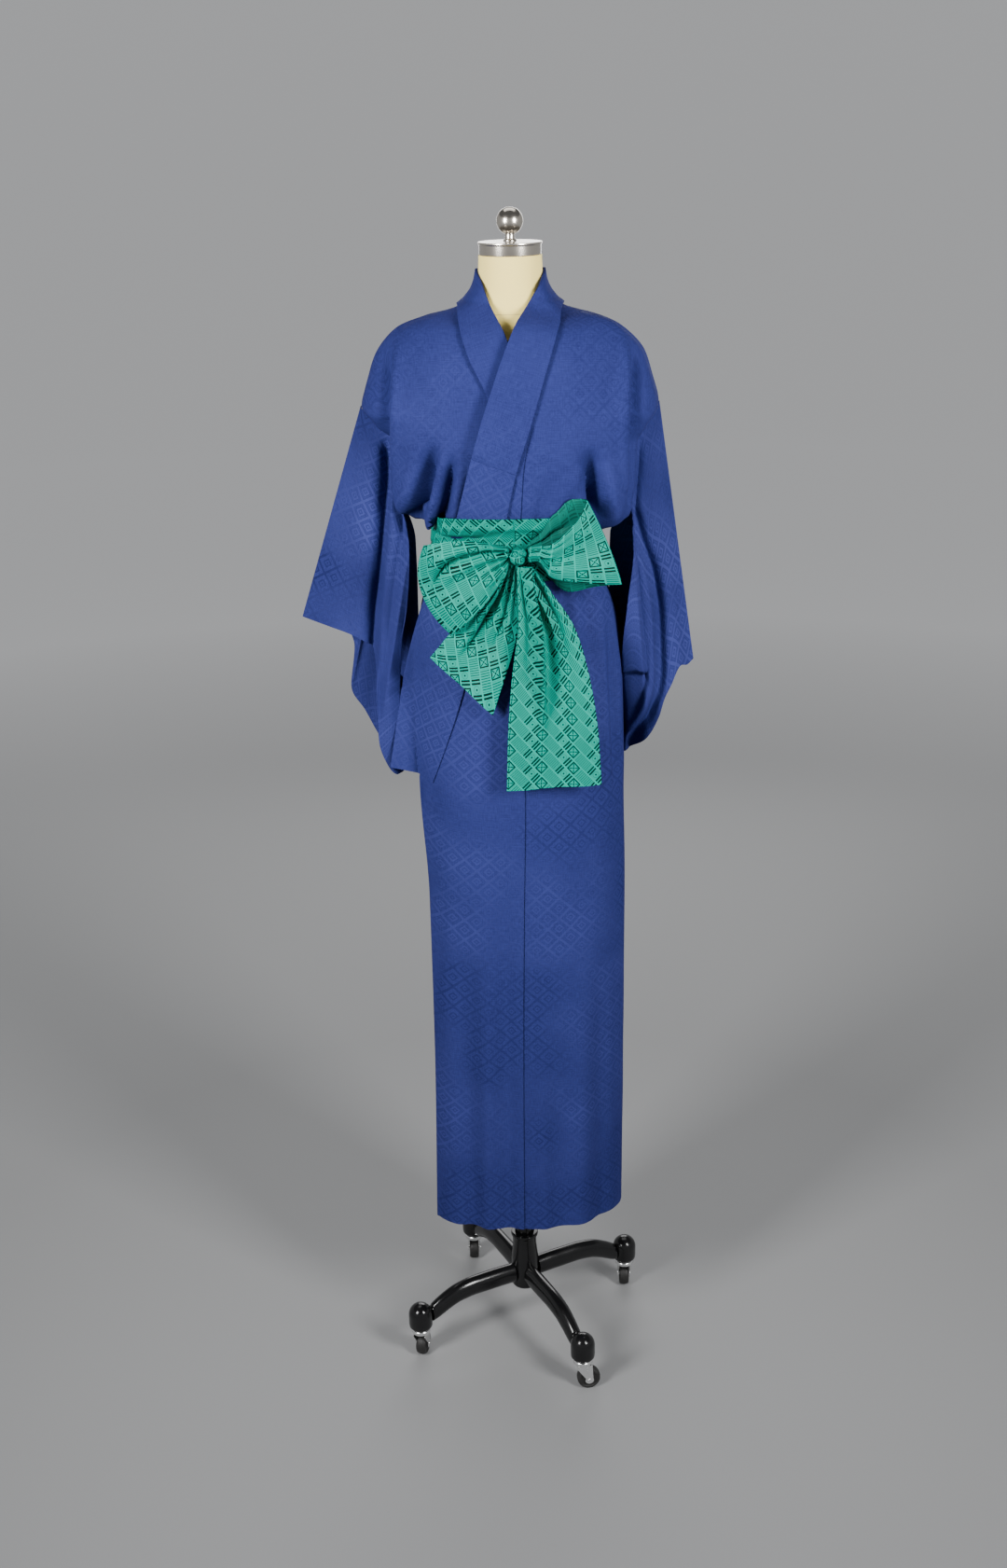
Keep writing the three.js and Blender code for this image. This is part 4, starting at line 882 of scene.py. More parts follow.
def girth(phi, v):
    """Distance round a section from its front or back middle to phi, by a fine sum over angles."""
    angle = np.linspace(0, 0.5 * math.pi, 46)
    rows = np.linspace(0, NUMBER[-1], 90)
    values = []
    for turn in (angle, math.pi - angle):
        p = envelope(turn[:, None], rows[None])
        step = np.linalg.norm(np.diff(p[..., :2], axis=0), axis=-1)
        values.append(np.concatenate([np.zeros((1, len(rows))), np.cumsum(step, 0)]))
    front = look_up((angle, rows, values[0]), np.clip(np.abs(phi), 0, 0.5 * math.pi), v)
    back = look_up((angle, rows, values[1]), np.clip(math.pi - np.abs(phi), 0, 0.5 * math.pi), v)
    return np.where(np.abs(phi) > 0.5 * math.pi, back, front)


def body_uv(points, phi, v, behind):
    """Across: distance from the middle. Along: height, and above the waist the length over the body."""
    x, z = np.abs(points[..., 0]), points[..., 2]
    round_ = girth(phi, v)
    u = mix(round_, np.minimum(x, round_), ease((z - 1630) / 110))
    along = np.where(z > 1500, 1500 + look_up(length_table(behind), x, z), z)
    return np.stack([u, along], -1) / 1000


BODIES = {}
SIDES = ((1, "left"), (-1, "right"))
# A small shift of the cloth coordinates keeps the pattern from running on from panel to panel.
for side, name in SIDES:
    grid, uv = body_points(side)
    BODIES[side] = grid
    piece = cloth_wall(f"robe_body_{name}", grid, uv + (0.011 * side, 0), SILK, side)
    finish_piece(piece, BLUE, "form", "blue_silk", f"body_{name}")


def overlap_points(side):
    """The overlap panel from the hem to its point: rows at one height between its seam and its edge.

    The upper one stands off the lower by WRAP and further still towards its free edge, by STAND.
    """
    z = np.r_[np.arange(HEM_Z, 1480, 9.0), np.arange(1480, POINT_Z - 3, 4.0), POINT_Z - 2][:, None]
    t = np.linspace(0, 1, 34)[None]
    seam = side * (SEAM_X(z) - HALF_SEAM)
    beneath = side * (SEWN_X(z) - TUCK)
    edge = mix(side * FREE_X(z), beneath, ease((z - COLLAR_FOOT_Z) / 60))
    x = mix(seam, edge, t)
    zz = np.broadcast_to(z, x.shape)
    if side < 0:
        points = wrapped_point(x, zz, 0.0)
        bend = ripples(x, zz, 31, 0.3)
    else:
        points = front_point(x, zz, WRAP)
        points[..., 1] -= STAND(zz) * t**3
        skirt = 1 - ease((zz - SKIRT_TOP_Z + 20) / 40)
        bend = folds(x, zz, SKIRT_FOLDS) * skirt + ripples(x, zz, 33, 0.35)
        bend = bend + folds(x, zz, FRONT_FOLDS) * ease((zz - 1500) / 10)
    points[..., 1] -= bend * ease(t / 0.08) * ease((1 - t) / 0.06)
    uv = np.stack([np.abs(x - seam) / 1000, zz / 1000], -1)
    return points, uv


for side, name in SIDES:
    grid, uv = overlap_points(side)
    piece = cloth_wall(f"robe_overlap_{name}", grid, uv + (0.017, 0.006), SILK, -side)
    finish_piece(piece, BLUE, "form", "blue_silk", f"overlap_{name}")


# ---------------------------------------------------------------- collar
NECK = [
    # sewn edge: x on the front or degrees round, z; free edge: x, y, z; dip between them
    (68, None, 1790, 24, -54, 1812, 0), (70, None, 1805, 42, -34, 1840, 4),
    (None, 90, 1813, 49.5, 0, 1858, 7), (None, 120, 1808, 45, 28, 1857, 6),
    (None, 150, 1798, 27, 48, 1854, 4), (None, 180, 1785, 0, 55, 1852, 3)]
COLLAR_WALL, STRIP_WALL = 2.4, 1.1
NECK_LIFT = 2.6  # how far the collar stands off the panels beside the neck
FRONT_ROWS = 120  # rows of the collar's front, from its end up to the neck
STRIP_FROM = 84  # the collar's row at which the strip begins


def collar_half(side, cols):
    """Stations along the collar from its end to the nape, each from its sewn edge to its free edge.

    On the front a station is a straight row across COLLAR's edges, laid on the panel. Round the neck it
    stands: a straight line from edge to edge, dipped inwards by half a sine, and a smooth run joins them.
    """
    t = np.linspace(0, 1, cols)[None]
    number = np.arange(len(COLLAR))
    sx, sz, fx, fz = (curve(number, COLLAR[:, k]) for k in range(4))
    i = np.linspace(0, number[-1], FRONT_ROWS)[:, None]
    x = side * mix(sx(i), fx(i), t)
    z = mix(sz(i), fz(i), t)
    if side < 0:
        x = x - 9 * ease((z - 1688) / 60)
    if side > 0:
        points = front_point(x, z, wrap_rise(z) + COLLAR_LIFT)
        points[..., 1] -= 6 * ease((1280 - z) / 120) * (0.08 + 1.5 * t)
    else:
        points = wrapped_point(x, z, COLLAR_LIFT)
    stations = []
    for place, turn, z0, x1, y1, z1, dip in NECK:
        lift = NECK_LIFT + (wrap_rise(z0) if side > 0 and turn is None else 0)
        wider = 7 if side < 0 and turn is None else 0
        sewn = (front_point(side * (place + wider), z0, lift) if turn is None
                else lifted(side * turn * DEG, level(z0), lift))
        sewn = settled(sewn)
        x1 = x1 + (wider if z1 < 1820 else 0)
        y1 = y1 - (5 if side > 0 and place == 70 else 0)
        free = np.array([side * x1, y1, z1])
        line = free - sewn
        inward = sewn * (-1, -1, 0)
        inward = unit(inward - line * (inward @ line) / (line @ line))
        stations.append(sewn + line * t[0][:, None] + inward * dip * np.sin(math.pi * t[0])[:, None])
    knots = np.concatenate([points[-1:], np.array(stations)])
    before = points[-1:] - 12 * (points[-1:] - points[-7:-6]) / 6.0
    turn = catmull(np.concatenate([before, knots]), 9)
    return np.concatenate([points, turn[1:]])


def catmull(knots, bits):
    """A smooth run through rows of knots (the first is only a guide); bits rows to each gap."""
    ends = np.concatenate([knots, knots[-1:] + (knots[-1:] - knots[-2:-1])])
    out = []
    for k in range(1, len(ends) - 2):
        a, b, c, d = ends[k - 1:k + 3]
        for s in np.arange(bits) / bits:
            out.append(0.5 * (2 * b + (c - a) * s + (2 * a - 5 * b + 4 * c - d) * s**2
                              + (3 * b - a - 3 * c + d) * s**3))
    out.append(ends[-2])
    return np.array(out)


def full_collar(cols):
    """The collar from the left front's end round the neck to the right front's end."""
    left, right = collar_half(1, cols), collar_half(-1, cols)
    left[-1, :, 0] = 0
    return np.concatenate([left, right[-2::-1]])


def strip_uv(grid):
    """Across and along a ribbon, both as lengths."""
    step = np.linalg.norm(np.diff(grid, axis=1), axis=-1)
    across = np.concatenate([np.zeros((len(grid), 1)), np.cumsum(step, 1)], 1)
    middle = grid[:, grid.shape[1] // 2]
    run = np.r_[0, np.cumsum(np.linalg.norm(np.diff(middle, axis=0), axis=-1))]
    return np.stack([across, np.broadcast_to(run[:, None], across.shape)], -1) / 1000


COLLAR_CREASES = [
    # x, z at one edge; x, z at the other; width, depth
    (-80, 1817, -38, 1815, 2.6, 1.5), (47, 1819, 72, 1817, 2.6, 1.4), (58, 1764, 92, 1758, 5, 0.7),
    (-62, 1607, -2, 1581, 2.0, 3.0), (-50, 1560, -16, 1572, 3, 1.0), (-74, 1548, -30, 1526, 3, 1.0),
    (-44, 1528, -24, 1560, 3, 0.9), (-120, 1402, -34, 1388, 4, 1.2), (-96, 1300, -60, 1262, 3, 1.2)]


def creased(grid, normals):
    """The collar with its pressed creases, each a shallow groove right across the band on the front."""
    x, z = grid[..., 0], grid[..., 2]
    depth = np.zeros(x.shape)
    for x0, z0, x1, z1, width, height in COLLAR_CREASES:
        dx, dz = x1 - x0, z1 - z0
        long = math.hypot(dx, dz)
        along = ((x - x0) * dx + (z - z0) * dz) / long**2
        away = ((x - x0) * dz - (z - z0) * dx) / long
        depth += height * bell(away, width) * (1 - ease((np.abs(along - 0.5) - 0.5) / 0.3))
    front = ease((30 - grid[..., 1]) / 30)
    return grid + normals * (depth * front)[..., None]


def make_collar():
    """The collar, folded double and pressed, and the short strip that lies on it round the neck."""
    cols = 18
    grid = full_collar(cols)
    normals = grid_normals(grid)
    grid = creased(grid, normals)
    arched = 0.36 * np.sin(np.linspace(0, math.pi, cols)) ** 0.7
    band = grid - normals * arched[None, :, None]
    piece = cloth_wall("robe_collar", band, strip_uv(grid), COLLAR_WALL, -1)
    finish_piece(piece, BLUE, "form", "blue_silk", "collar")
    covered = slice(STRIP_FROM, len(grid) - STRIP_FROM)
    strip = grid[covered]
    piece = cloth_wall("robe_over_collar", strip - normals[covered] * STRIP_LIFT,
                       strip_uv(strip) + (0.009, 0.012), STRIP_WALL, -1)
    finish_piece(piece, BLUE_PLAIN, "form", "blue_silk", "over_collar")


make_collar()

# ---------------------------------------------------------------- sleeves
# around: distance from the top fold, negative behind; then x, y, z at the cuff end.
RIGHT_CUFF = [
    (0, 335, 8, 1336), (60, 277, -38, 1327), (118, 222, -56, 1297), (150, 217, -66, 1262),
    (185, 218, -72, 1222), (250, 218, -70, 1160), (350, 206, -58, 1112), (440, 192, -40, 1091),
    (490, 184, -22, 1086), (-440, 194, -6, 1090), (-350, 212, 4, 1118), (-250, 244, 8, 1180),
    (-185, 264, 14, 1218), (-118, 257, 24, 1282), (-60, 284, 22, 1331)]
RIGHT_OPEN = [(260, 160, -66, 1454), (315, 163, -68, 1399), (374, 172, -68, 1341), (422, 184, -64, 1294),
              (455, 183, -54, 1262), (490, 166, -30, 1242), (-450, 158, 0, 1252), (-400, 155, 24, 1296),
              (-340, 154, 38, 1352), (-260, 155, 46, 1446)]
LEFT_CUFF = [
    (0, 281, 0, 1258), (20, 270, -8, 1251), (36, 260, -20, 1255), (75, 243, -38, 1227),
    (110, 232, -48, 1206), (150, 223, -56, 1181), (250, 207, -60, 1152), (350, 191, -50, 1132),
    (440, 178, -34, 1117),
    (490, 171, -16, 1111), (-440, 176, 2, 1116), (-350, 196, 14, 1142), (-250, 214, 20, 1172),
    (-185, 226, 22, 1194), (-118, 240, 26, 1220), (-60, 260, 18, 1246)]
LEFT_OPEN = [(267, 179, -66, 1451), (343, 171, -68, 1376), (420, 164, -60, 1300), (490, 163, -28, 1243),
             (-440, 156, 18, 1270), (-350, 150, 46, 1362), (-260, 152, 54, 1452)]
ARMHOLE, DEPTH = 210.0, 490.0  # the sewn length down from the top fold, and the sleeve's whole depth
SLEEVE_REACH = 344  # from the sleeve seam to the cuff
# The front layer: where its deep valley runs and where its inner edge or rolled edge runs, as x at heights.
RIGHT_VALLEY = curve([1100, 1207, 1295, 1342, 1399, 1467, 1511, 1566, 1645],
                     [214, 219, 219, 216, 208, 199, 194, 189, 188])
RIGHT_INNER = curve([1090, 1150, 1213, 1243, 1270, 1294, 1341, 1399, 1504],
                    [178, 170, 176, 176, 185, 184, 172, 163, 161])
LEFT_ROLL = curve([1111, 1148, 1181, 1219, 1250, 1339, 1403, 1458, 1513],
                  [171, 177, 198, 213, 217, 214, 204, 186, 173])


def right_front(x, z):
    """Height of the right sleeve's front layer: a deep valley, and a soft roll between it and the edge."""
    valley, inner = RIGHT_VALLEY(z), RIGHT_INNER(z)
    gap = np.maximum(valley - inner, 16)
    rise = 15 * bell(x - mix(valley, inner, 0.52), 0.40 * gap) * ease((1560 - z) / 70)
    rise = rise - 19 * bell(x - valley - 3, 8) * ease((z - 1262) / 40) * ease((1650 - z) / 60)
    rise = rise + 5 * bell(x - valley - 26, 15) * ease((z - 1300) / 60) * ease((1640 - z) / 80)
    return rise - 5 * bell(z - 1232 - 0.3 * (x - 190), 9) * ease((205 - x) / 14)


def left_front(x, z):
    """Height of the left sleeve's front layer: it rolls over a curved edge above a deep valley."""
    roll = LEFT_ROLL(z)
    here = ease((1540 - z) / 50)
    past = x - roll
    rise = here * (13 * ease((2 - past) / 7) - 17 * bell(past - 9, 9) + 4 * bell(past - 40, 16))
    rise = rise - 16 * bell(x - 184, 9) * ease((z - 1500) / 40) * ease((1680 - z) / 60)
    arch = 1262 - 0.012 * (x - 184) ** 2
    return rise - 14 * ease((arch - z) / 7) * ease((z - 1140) / 60) * ease((roll - 10 - x) / 8)


def sleeve_points(side, cuff, opened):
    """Rings of the sleeve from the armhole to the cuff, round from the top fold down the front and back up.

    The first ring follows the body's edge and then the open edge; the last is the cuff; a ring between
    is mixed from both, with a valley and a roll in the front layer and softer ones behind.
    """
    body = BODIES[side]
    ridge = np.argmax(body[:, -1, 2])
    away = np.array([side * 1.1, 0, 0])

    def armhole(step):
        """The body's edge from the ridge down one face: distances along it and points."""
        rows = []
        k = ridge
        while 0 <= k < len(body) and body[k, -1, 2] > LIP_Z - 0.1:
            rows.append(body[k, -1] + away)
            k += step
        rows = np.array(rows)
        run = np.r_[0, np.cumsum(np.linalg.norm(np.diff(rows, axis=0), axis=-1))]
        return run * (ARMHOLE / run[-1]), rows

    def through(places, points, ring):
        """Points at the distances in ring, by smooth curves through points at their places."""
        return np.stack([curve(places, points[:, k])(ring) for k in range(3)], -1)

    run_front, front = armhole(-1)
    run_back, back = armhole(1)
    open_front = [(a, side * x, y, z) for a, x, y, z in opened if a > 0]
    open_back = [(-a, side * x, y, z) for a, x, y, z in opened[::-1] if a < 0]
    places = np.r_[run_front, [row[0] for row in open_front],
                   (2 * DEPTH - np.r_[run_back, [row[0] for row in open_back]])[::-1]]
    points = np.concatenate([front, [row[1:] for row in open_front],
                             np.concatenate([back, [row[1:] for row in open_back]])[::-1]])
    ring = np.linspace(0, 2 * DEPTH, 241)[:-1]
    start = through(places, points, ring)
    turn = np.array([a % (2 * DEPTH) for a, *_ in cuff] + [2 * DEPTH])
    end = through(turn, np.array([(side * x, y, z) for _, x, y, z in cuff + cuff[:1]]), ring)
    s = np.linspace(0, 1, 70)[:, None]
    grid = start[None] * (1 - s[..., None]) + end[None] * s[..., None]
    around = np.where(ring > DEPTH, ring - 2 * DEPTH, ring)[None]
    place = np.abs(around)
    x, z = np.abs(grid[..., 0]), grid[..., 2]
    free = np.where(place < ARMHOLE + 20, ease(s / 0.10), ease((s + 0.08) / 0.08))
    edges = ease(place / 26) * ease((DEPTH - place) / 60) * free
    height = (right_front if side < 0 else left_front)(x, z)
    middle = np.sin(math.pi * np.minimum(1, s * 0.9 + 0.02))
    soft = middle * (-8 * bell(place - 150 - 30 * s, 16) + 6 * bell(place - 90, 20)
                     - 7 * bell(place - 300, 22) + 5 * bell(place - 380, 20))
    small = ripples(x * 1.3, z * 0.8, 50 + side, 0.6)
    grid[..., 1] += np.where(around > 0, -(height + small), soft + small) * edges
    lobe = bell(place - DEPTH, 120)
    if side < 0:
        grid[..., 0] += lobe * (9 * bell(s - 0.55, 0.22) - 7 * bell(s - 0.17, 0.09))
    uv = np.stack(np.broadcast_arrays(s * SLEEVE_REACH, ring[None]), -1) / 1000
    return grid, uv


SLEEVES = ((-1, "right", RIGHT_CUFF, RIGHT_OPEN), (1, "left", LEFT_CUFF, LEFT_OPEN))
for side, name, cuff, opened in SLEEVES:
    grid, uv = sleeve_points(side, cuff, opened)
    piece = cloth_wall(f"robe_sleeve_{name}", grid, uv, SILK, 1, loop=True)
    finish_piece(piece, BLUE_SLEEVE, "form", "blue_silk", f"sleeve_{name}")


# ---------------------------------------------------------------- sash and bow
SASH_LOW_Z, SASH_PEAK_Z = 1418, 1516  # its lower edge, and its upper edge in front
LAYERED = 125  # half the width over which it lies on both fronts and the collar
SASH_WALL, RIBBON_WALL = 1.5, 1.3


def sash_points():
    """The sash round the waist: its lift grows in front over the layers, with slack folds running round.

    The lift is a cosine of the angle; the folds are bells and sines of h, the place up the sash. In front
    it lies no closer than the layers beneath it.
    """
    h = np.linspace(0, 1, 34)[:, None]
    phi = full_turn(240)[None]
    top = mix(SASH_TOP_Z, SASH_PEAK_Z, ease((np.cos(phi) + 0.1) / 0.8))
    z = mix(SASH_LOW_Z, top, h)
    stack = 5.0 + 16.6 * np.sqrt(0.5 + 0.5 * np.cos(phi + 20 * DEG))
    crumple = 1.2 + 1.5 * np.sin(h * math.pi * 3 + 0.6 * np.sin(phi * 2)) * np.sin(phi * 2 + 1)
    crumple = crumple + 1.6 * bell(h - 0.35 - 0.12 * np.cos(phi), 0.05)
    crumple = crumple - 1.8 * bell(h - 0.62 - 0.1 * np.sin(phi), 0.045)
    crumple = crumple - 1.5 * bell(h - 0.16 - 0.06 * np.cos(phi * 2), 0.04)
    crumple = crumple + 0.35 * np.sin(phi * 23 + h * 9) * np.sin(h * 12 + phi * 3)
    edge = ease(h / 0.05) * ease((1 - h) / 0.05)
    held = np.minimum(z, SASH_TOP_Z)
    proud = 0.62 * (z - held) * ease((np.cos(phi) - 0.15) / 0.55)
    grid = lifted(phi, level(held), stack + crumple * edge + proud)
    grid[..., 2] = z + 0 * phi
    x = grid[..., 0]
    reach, near = WRAP + COLLAR_LIFT + 3.6, np.clip(x, -LAYERED, LAYERED)
    drop = z - front_point(near, z + 0 * phi, reach)[..., 2]
    over = front_point(near, z + drop, reach)[..., 1]
    share = ease((LAYERED - 1 - np.abs(x)) / 18) * ease((grid[..., 2] - 1440) / 30) * (np.cos(phi) > 0)
    grid[..., 1] = mix(grid[..., 1], np.minimum(grid[..., 1], over), share)
    return grid


def slanted_uv(shape, wide, long):
    """Cloth coordinates, in metres, of a band that is cut at 45 degrees to the weave."""
    across = np.linspace(0, wide, shape[0])[:, None]
    along = np.linspace(0, long, shape[1])[None]
    return np.stack(np.broadcast_arrays(across, along), -1) @ np.array([[0.71, 0.71], [-0.71, 0.71]]) + 1.0


grid = sash_points()
piece = cloth_wall("sash_band", grid, slanted_uv(grid.shape, 0.105, 0.88), SASH_WALL, 1, loop=True)
finish_piece(piece, GREEN, "form", "green_silk", "sash")

RIBBONS = {
    # stations of x, y, z of the middle; half width wx, wy, wz; bend
    "bow_loop_right": [
        (-10, -151, 1464.5, 0, -2, 11.5, 0), (-29, -163, 1458.5, -7, -3, 28.5, 0),
        (-64, -172, 1443.5, -14, -4, 50.5, 0), (-99, -165, 1426.5, -19, -4, 63.5, -10),
        (-115.5, -149, 1414.5, -18.5, -2, 68.5, -25), (-98, -139, 1420, -16, 0, 58, -12),
        (-62, -137, 1436, -8, 0, 42, -4), (-32, -137, 1456, -2, 0, 22, 0), (-10, -137, 1465, 0, 0, 11, 0)],
    "bow_loop_left": [
        (19, -149, 1466, 0, 0, 11, 0), (35, -160, 1470, 1, -2, 12, 0), (55, -168, 1462.5, 3, -4, 26.5, 0),
        (90, -168, 1472, -3, -5, 45, 0), (131, -148, 1482, -26, -5, 64, 4),
        (100, -134, 1478, -18, -4, 66, 2), (66, -131, 1464, -8, -2, 58, 0), (40, -131, 1466, -2, 0, 28, 0),
        (19, -131, 1468, 0, 0, 11, 0)],
    "bow_tail_right": [
        (-5, -136, 1450, -9, 2, 2, 0), (-16.5, -139, 1407.5, -19.5, 5, 2.5, 0),
        (-37.5, -143, 1357.5, -37.5, 9, 12.5, 0), (-63, -150, 1310, -45, 12, 25, 0),
        (-84, -156, 1267.5, -46, 8, 43.5, 0)],
    "bow_tail_left": [
        (13, -148, 1448, 11, 0, 0, 0), (27, -162, 1410, 24, 0, 3, 0), (44, -169, 1355, 42, 2, 3, 2),
        (50, -171, 1280, 58, 3, 0, 3), (53, -173, 1190, 68, 4, 2, 2), (54, -174, 1109, 72, 5, 2, 0)],
}


def ribbon_points(stations, pleats):
    """A ribbon through its stations, with pleats that fade along it.

    A point is the middle plus c half widths, with c from -1 to 1 across. Its x is bent by bend (1 - c c),
    its y is arched by a cosine of c, and the pleats are bells across c, added along the surface direction.
    """
    rows = np.asarray(stations, float)
    number = np.arange(len(rows))
    i = np.linspace(0, number[-1], 30 * (len(rows) - 1) // 2)[:, None]
    c = np.linspace(-1, 1, 41)[None]
    x, y, z, wx, wy, wz, bend = (curve(number, rows[:, k])(i) for k in range(7))
    arch = 2.5 * np.cos(c * math.pi * 1.5)
    grid = np.stack([x + wx * c + bend * (1 - c * c), y + wy * c + arch, z + wz * c], -1)
    depth = np.zeros(grid.shape[:2])
    for place, drift, width, height, start, stop in pleats:
        t = np.clip((i - start) / (stop - start), 0, 1)
        near = ease((1 - t) / 0.35)
        depth = depth + height * near * bell(c - place - drift * t**5, width)
    depth = depth * ease(i / 0.25) * ease((number[-1] - i) / 0.12)
    return grid + grid_normals(grid) * depth[..., None]


PLEATS = {
    # place across, drift towards the far end, width, height, first and last station
    "bow_loop_right": [
        (0.56, -1.0, 0.065, -18, 0, 3.8), (0.80, -0.9, 0.11, 8, 0, 3.9), (0.34, -0.9, 0.13, 6, 0, 3.6),
        (0.12, 0, 0.07, -6, 0, 1.6), (-0.08, 0, 0.10, 4, 0, 1.9), (-0.32, 0, 0.06, -6, 0, 1.5),
        (-0.55, 0, 0.12, 4, 0, 2.0), (-0.80, 0, 0.06, -4, 0, 1.5), (0.0, 0, 0.15, -4, 8, 5)],
    "bow_loop_left": [
        (-0.5, 0, 0.07, -7, 0, 2.2), (-0.15, 0, 0.09, 4, 0, 2.6), (0.2, 0, 0.06, -7, 0, 2.2),
        (0.62, 0, 0.1, 3, 0, 3.2), (0.2, 0, 0.10, 6, 8, 5), (-0.1, 0, 0.07, -8, 8, 5),
        (-0.5, 0, 0.12, -5, 8, 5), (0.55, 0, 0.07, -6, 8, 5)],
    "bow_tail_right": [
        (-0.62, 0, 0.1, 4, 0, 3.0), (-0.30, 0.1, 0.06, -9, 0, 2.8), (-0.02, 0, 0.12, 7, 0, 3.4),
        (0.30, 0.1, 0.08, -14, 0, 3.6), (0.58, 0, 0.10, 5, 0, 3.0), (0.8, 0, 0.05, -3, 0, 2.0)],
    "bow_tail_left": [
        (-0.66, 0, 0.14, 6, 0, 3.8), (-0.36, 0.14, 0.09, -26, 0, 4.2), (-0.06, 0, 0.14, 8, 0, 3.6),
        (0.20, 0, 0.06, -5, 0, 2.4), (0.46, 0, 0.14, 5, 0, 3.4), (0.76, 0, 0.06, -3, 0, 2.2)],
}
# Each ribbon's width and length when flat, in metres, and how far its pattern is turned from its length.
CUTS = {"bow_loop_right": (0.13, 0.27), "bow_loop_left": (0.12, 0.27),
        "bow_tail_right": (0.12, 0.21), "bow_tail_left": (0.15, 0.36)}
PATTERN_TURN = {"bow_loop_right": 96, "bow_loop_left": -90, "bow_tail_right": 38, "bow_tail_left": -42.6}


def turned(uv, degrees):
    """Cloth coordinates turned about their corner, as when a piece is cut at a slant."""
    c, s = math.cos(degrees * DEG), math.sin(degrees * DEG)
    return np.stack([uv[..., 0] * c + uv[..., 1] * s, uv[..., 1] * c - uv[..., 0] * s], -1) + 0.5


for name, stations in RIBBONS.items():
    grid = ribbon_points(stations, PLEATS[name])
    uv = strip_uv(grid)
    uv[..., 0] = np.linspace(0, CUTS[name][0], grid.shape[1])[None]
    front_half = grid_normals(grid)[:len(grid) // 2, ..., 1]
    outwards = -np.sign(front_half.mean())
    piece = cloth_wall(f"sash_{name}", grid, turned(uv, PATTERN_TURN[name]), RIBBON_WALL, outwards)
    finish_piece(piece, GREEN, "form", "green_silk", name)


KNOT_RINGS, KNOT_SIDES = 41, 72
KNOT_MIDDLE, KNOT_HALF = (3, -144, 1464), (13.0, 24.0, 13.5)


def knot_points():
    """A soft knot: rings of an upright rounded body, their size waved along slanting wraps."""
    a = full_turn(KNOT_SIDES)[None]
    t = np.linspace(-1, 1, KNOT_RINGS)[:, None] * 0.995
    r = np.sqrt(1 - np.abs(t) ** 2.3)
    groove = bell(np.sin(a * 1.5 + t * 2.6 + 0.8), 0.16)
    wrap = r * (1.0 + (0.10 * np.sin(a * 2 + t * 4.0) - 0.16 * groove) * r)
    return KNOT_MIDDLE + np.stack([wrap * np.cos(a), wrap * np.sin(a), t + 0 * a], -1) * KNOT_HALF


def knot_uv():
    """Cloth coordinates of the knot's rings, and of the middles of its two ends."""
    up = np.linspace(0, 0.06, KNOT_RINGS)[:, None]
    round_ = np.linspace(0, 0.11, KNOT_SIDES)[None]
    rings = np.stack(np.broadcast_arrays(up, round_), -1)
    return np.concatenate([rings.reshape(-1, 2), [[0, 0], [0.06, 0]]])


piece = tube("sash_knot", knot_points(), knot_uv())
finish_piece(piece, GREEN, "form", "green_silk", "bow_knot")

# ---------------------------------------------------------------- dress form
FORM = np.array([
    # z; half width; depth in front and behind
    [1098, 118, 92, 96], [1108, 128, 102, 104], [1200, 140, 112, 118], [1290, 133, 108, 112],
    [1370, 115, 95, 94], [1450, 100, 84, 80], [1530, 112, 94, 88], [1620, 134, 112, 98],
    [1690, 148, 102, 94], [1740, 158, 84, 82], [1765, 148, 72, 71], [1786, 122, 61, 60], [1800, 88, 54, 56],
    [1814, 60, 50, 52], [1834, 49.5, 48, 49], [1856, 47.5, 47, 47], [1879.7, 46.5, 46.5, 46.5]])


def form_points():
    """Ellipses of the form's sections, front and back halves of their own depth."""
    number = np.arange(len(FORM))
    v = np.linspace(0, number[-1], 150)
    z, side, front, back = (curve(number, FORM[:, k])(v)[:, None] for k in range(4))
    phi = full_turn(96)[None]
    deep = np.where(np.cos(phi) > 0, front, back)
    return np.stack([side * np.sin(phi), -deep * np.cos(phi), z + 0 * phi], -1)


finish_piece(tube("form_cover", form_points()), CREAM, "form", "cream_linen", "form_torso")


def arc(radius, middle, start, stop, step):
    """Points on a circle about the middle, at whole angles from start to just before stop."""
    angle = np.arange(start, stop, step) * DEG
    return [(middle[0] + radius * math.cos(a), middle[1] + radius * math.sin(a)) for a in angle]


def turned_piece(name, node, material, body, slot, sides, eased, outline, axis=None):
    """A turned piece that stands for one node and rides on a body."""
    finish_piece(lathe(name, outline, sides, eased, axis), material, body, slot, node)


METAL = (NICKEL, "form", "brushed_metal")
turned_piece("neck_cap_plate", "neck_cap", *METAL, 96, 0.7, [
    (0, 1880), (45.8, 1880), (45.8, 1894.5), (47.3, 1895.3), (47.3, 1898), (0, 1898)])
turned_piece("finial_ball", "finial", *METAL, 64, 0.5, [
    (0, 1898.3), (10, 1898.3), (10, 1900.3), (7.4, 1902), (7.0, 1909.5),
    *arc(19.6, (0, 1927), -66, 90, 6), (0, 1946.6)])

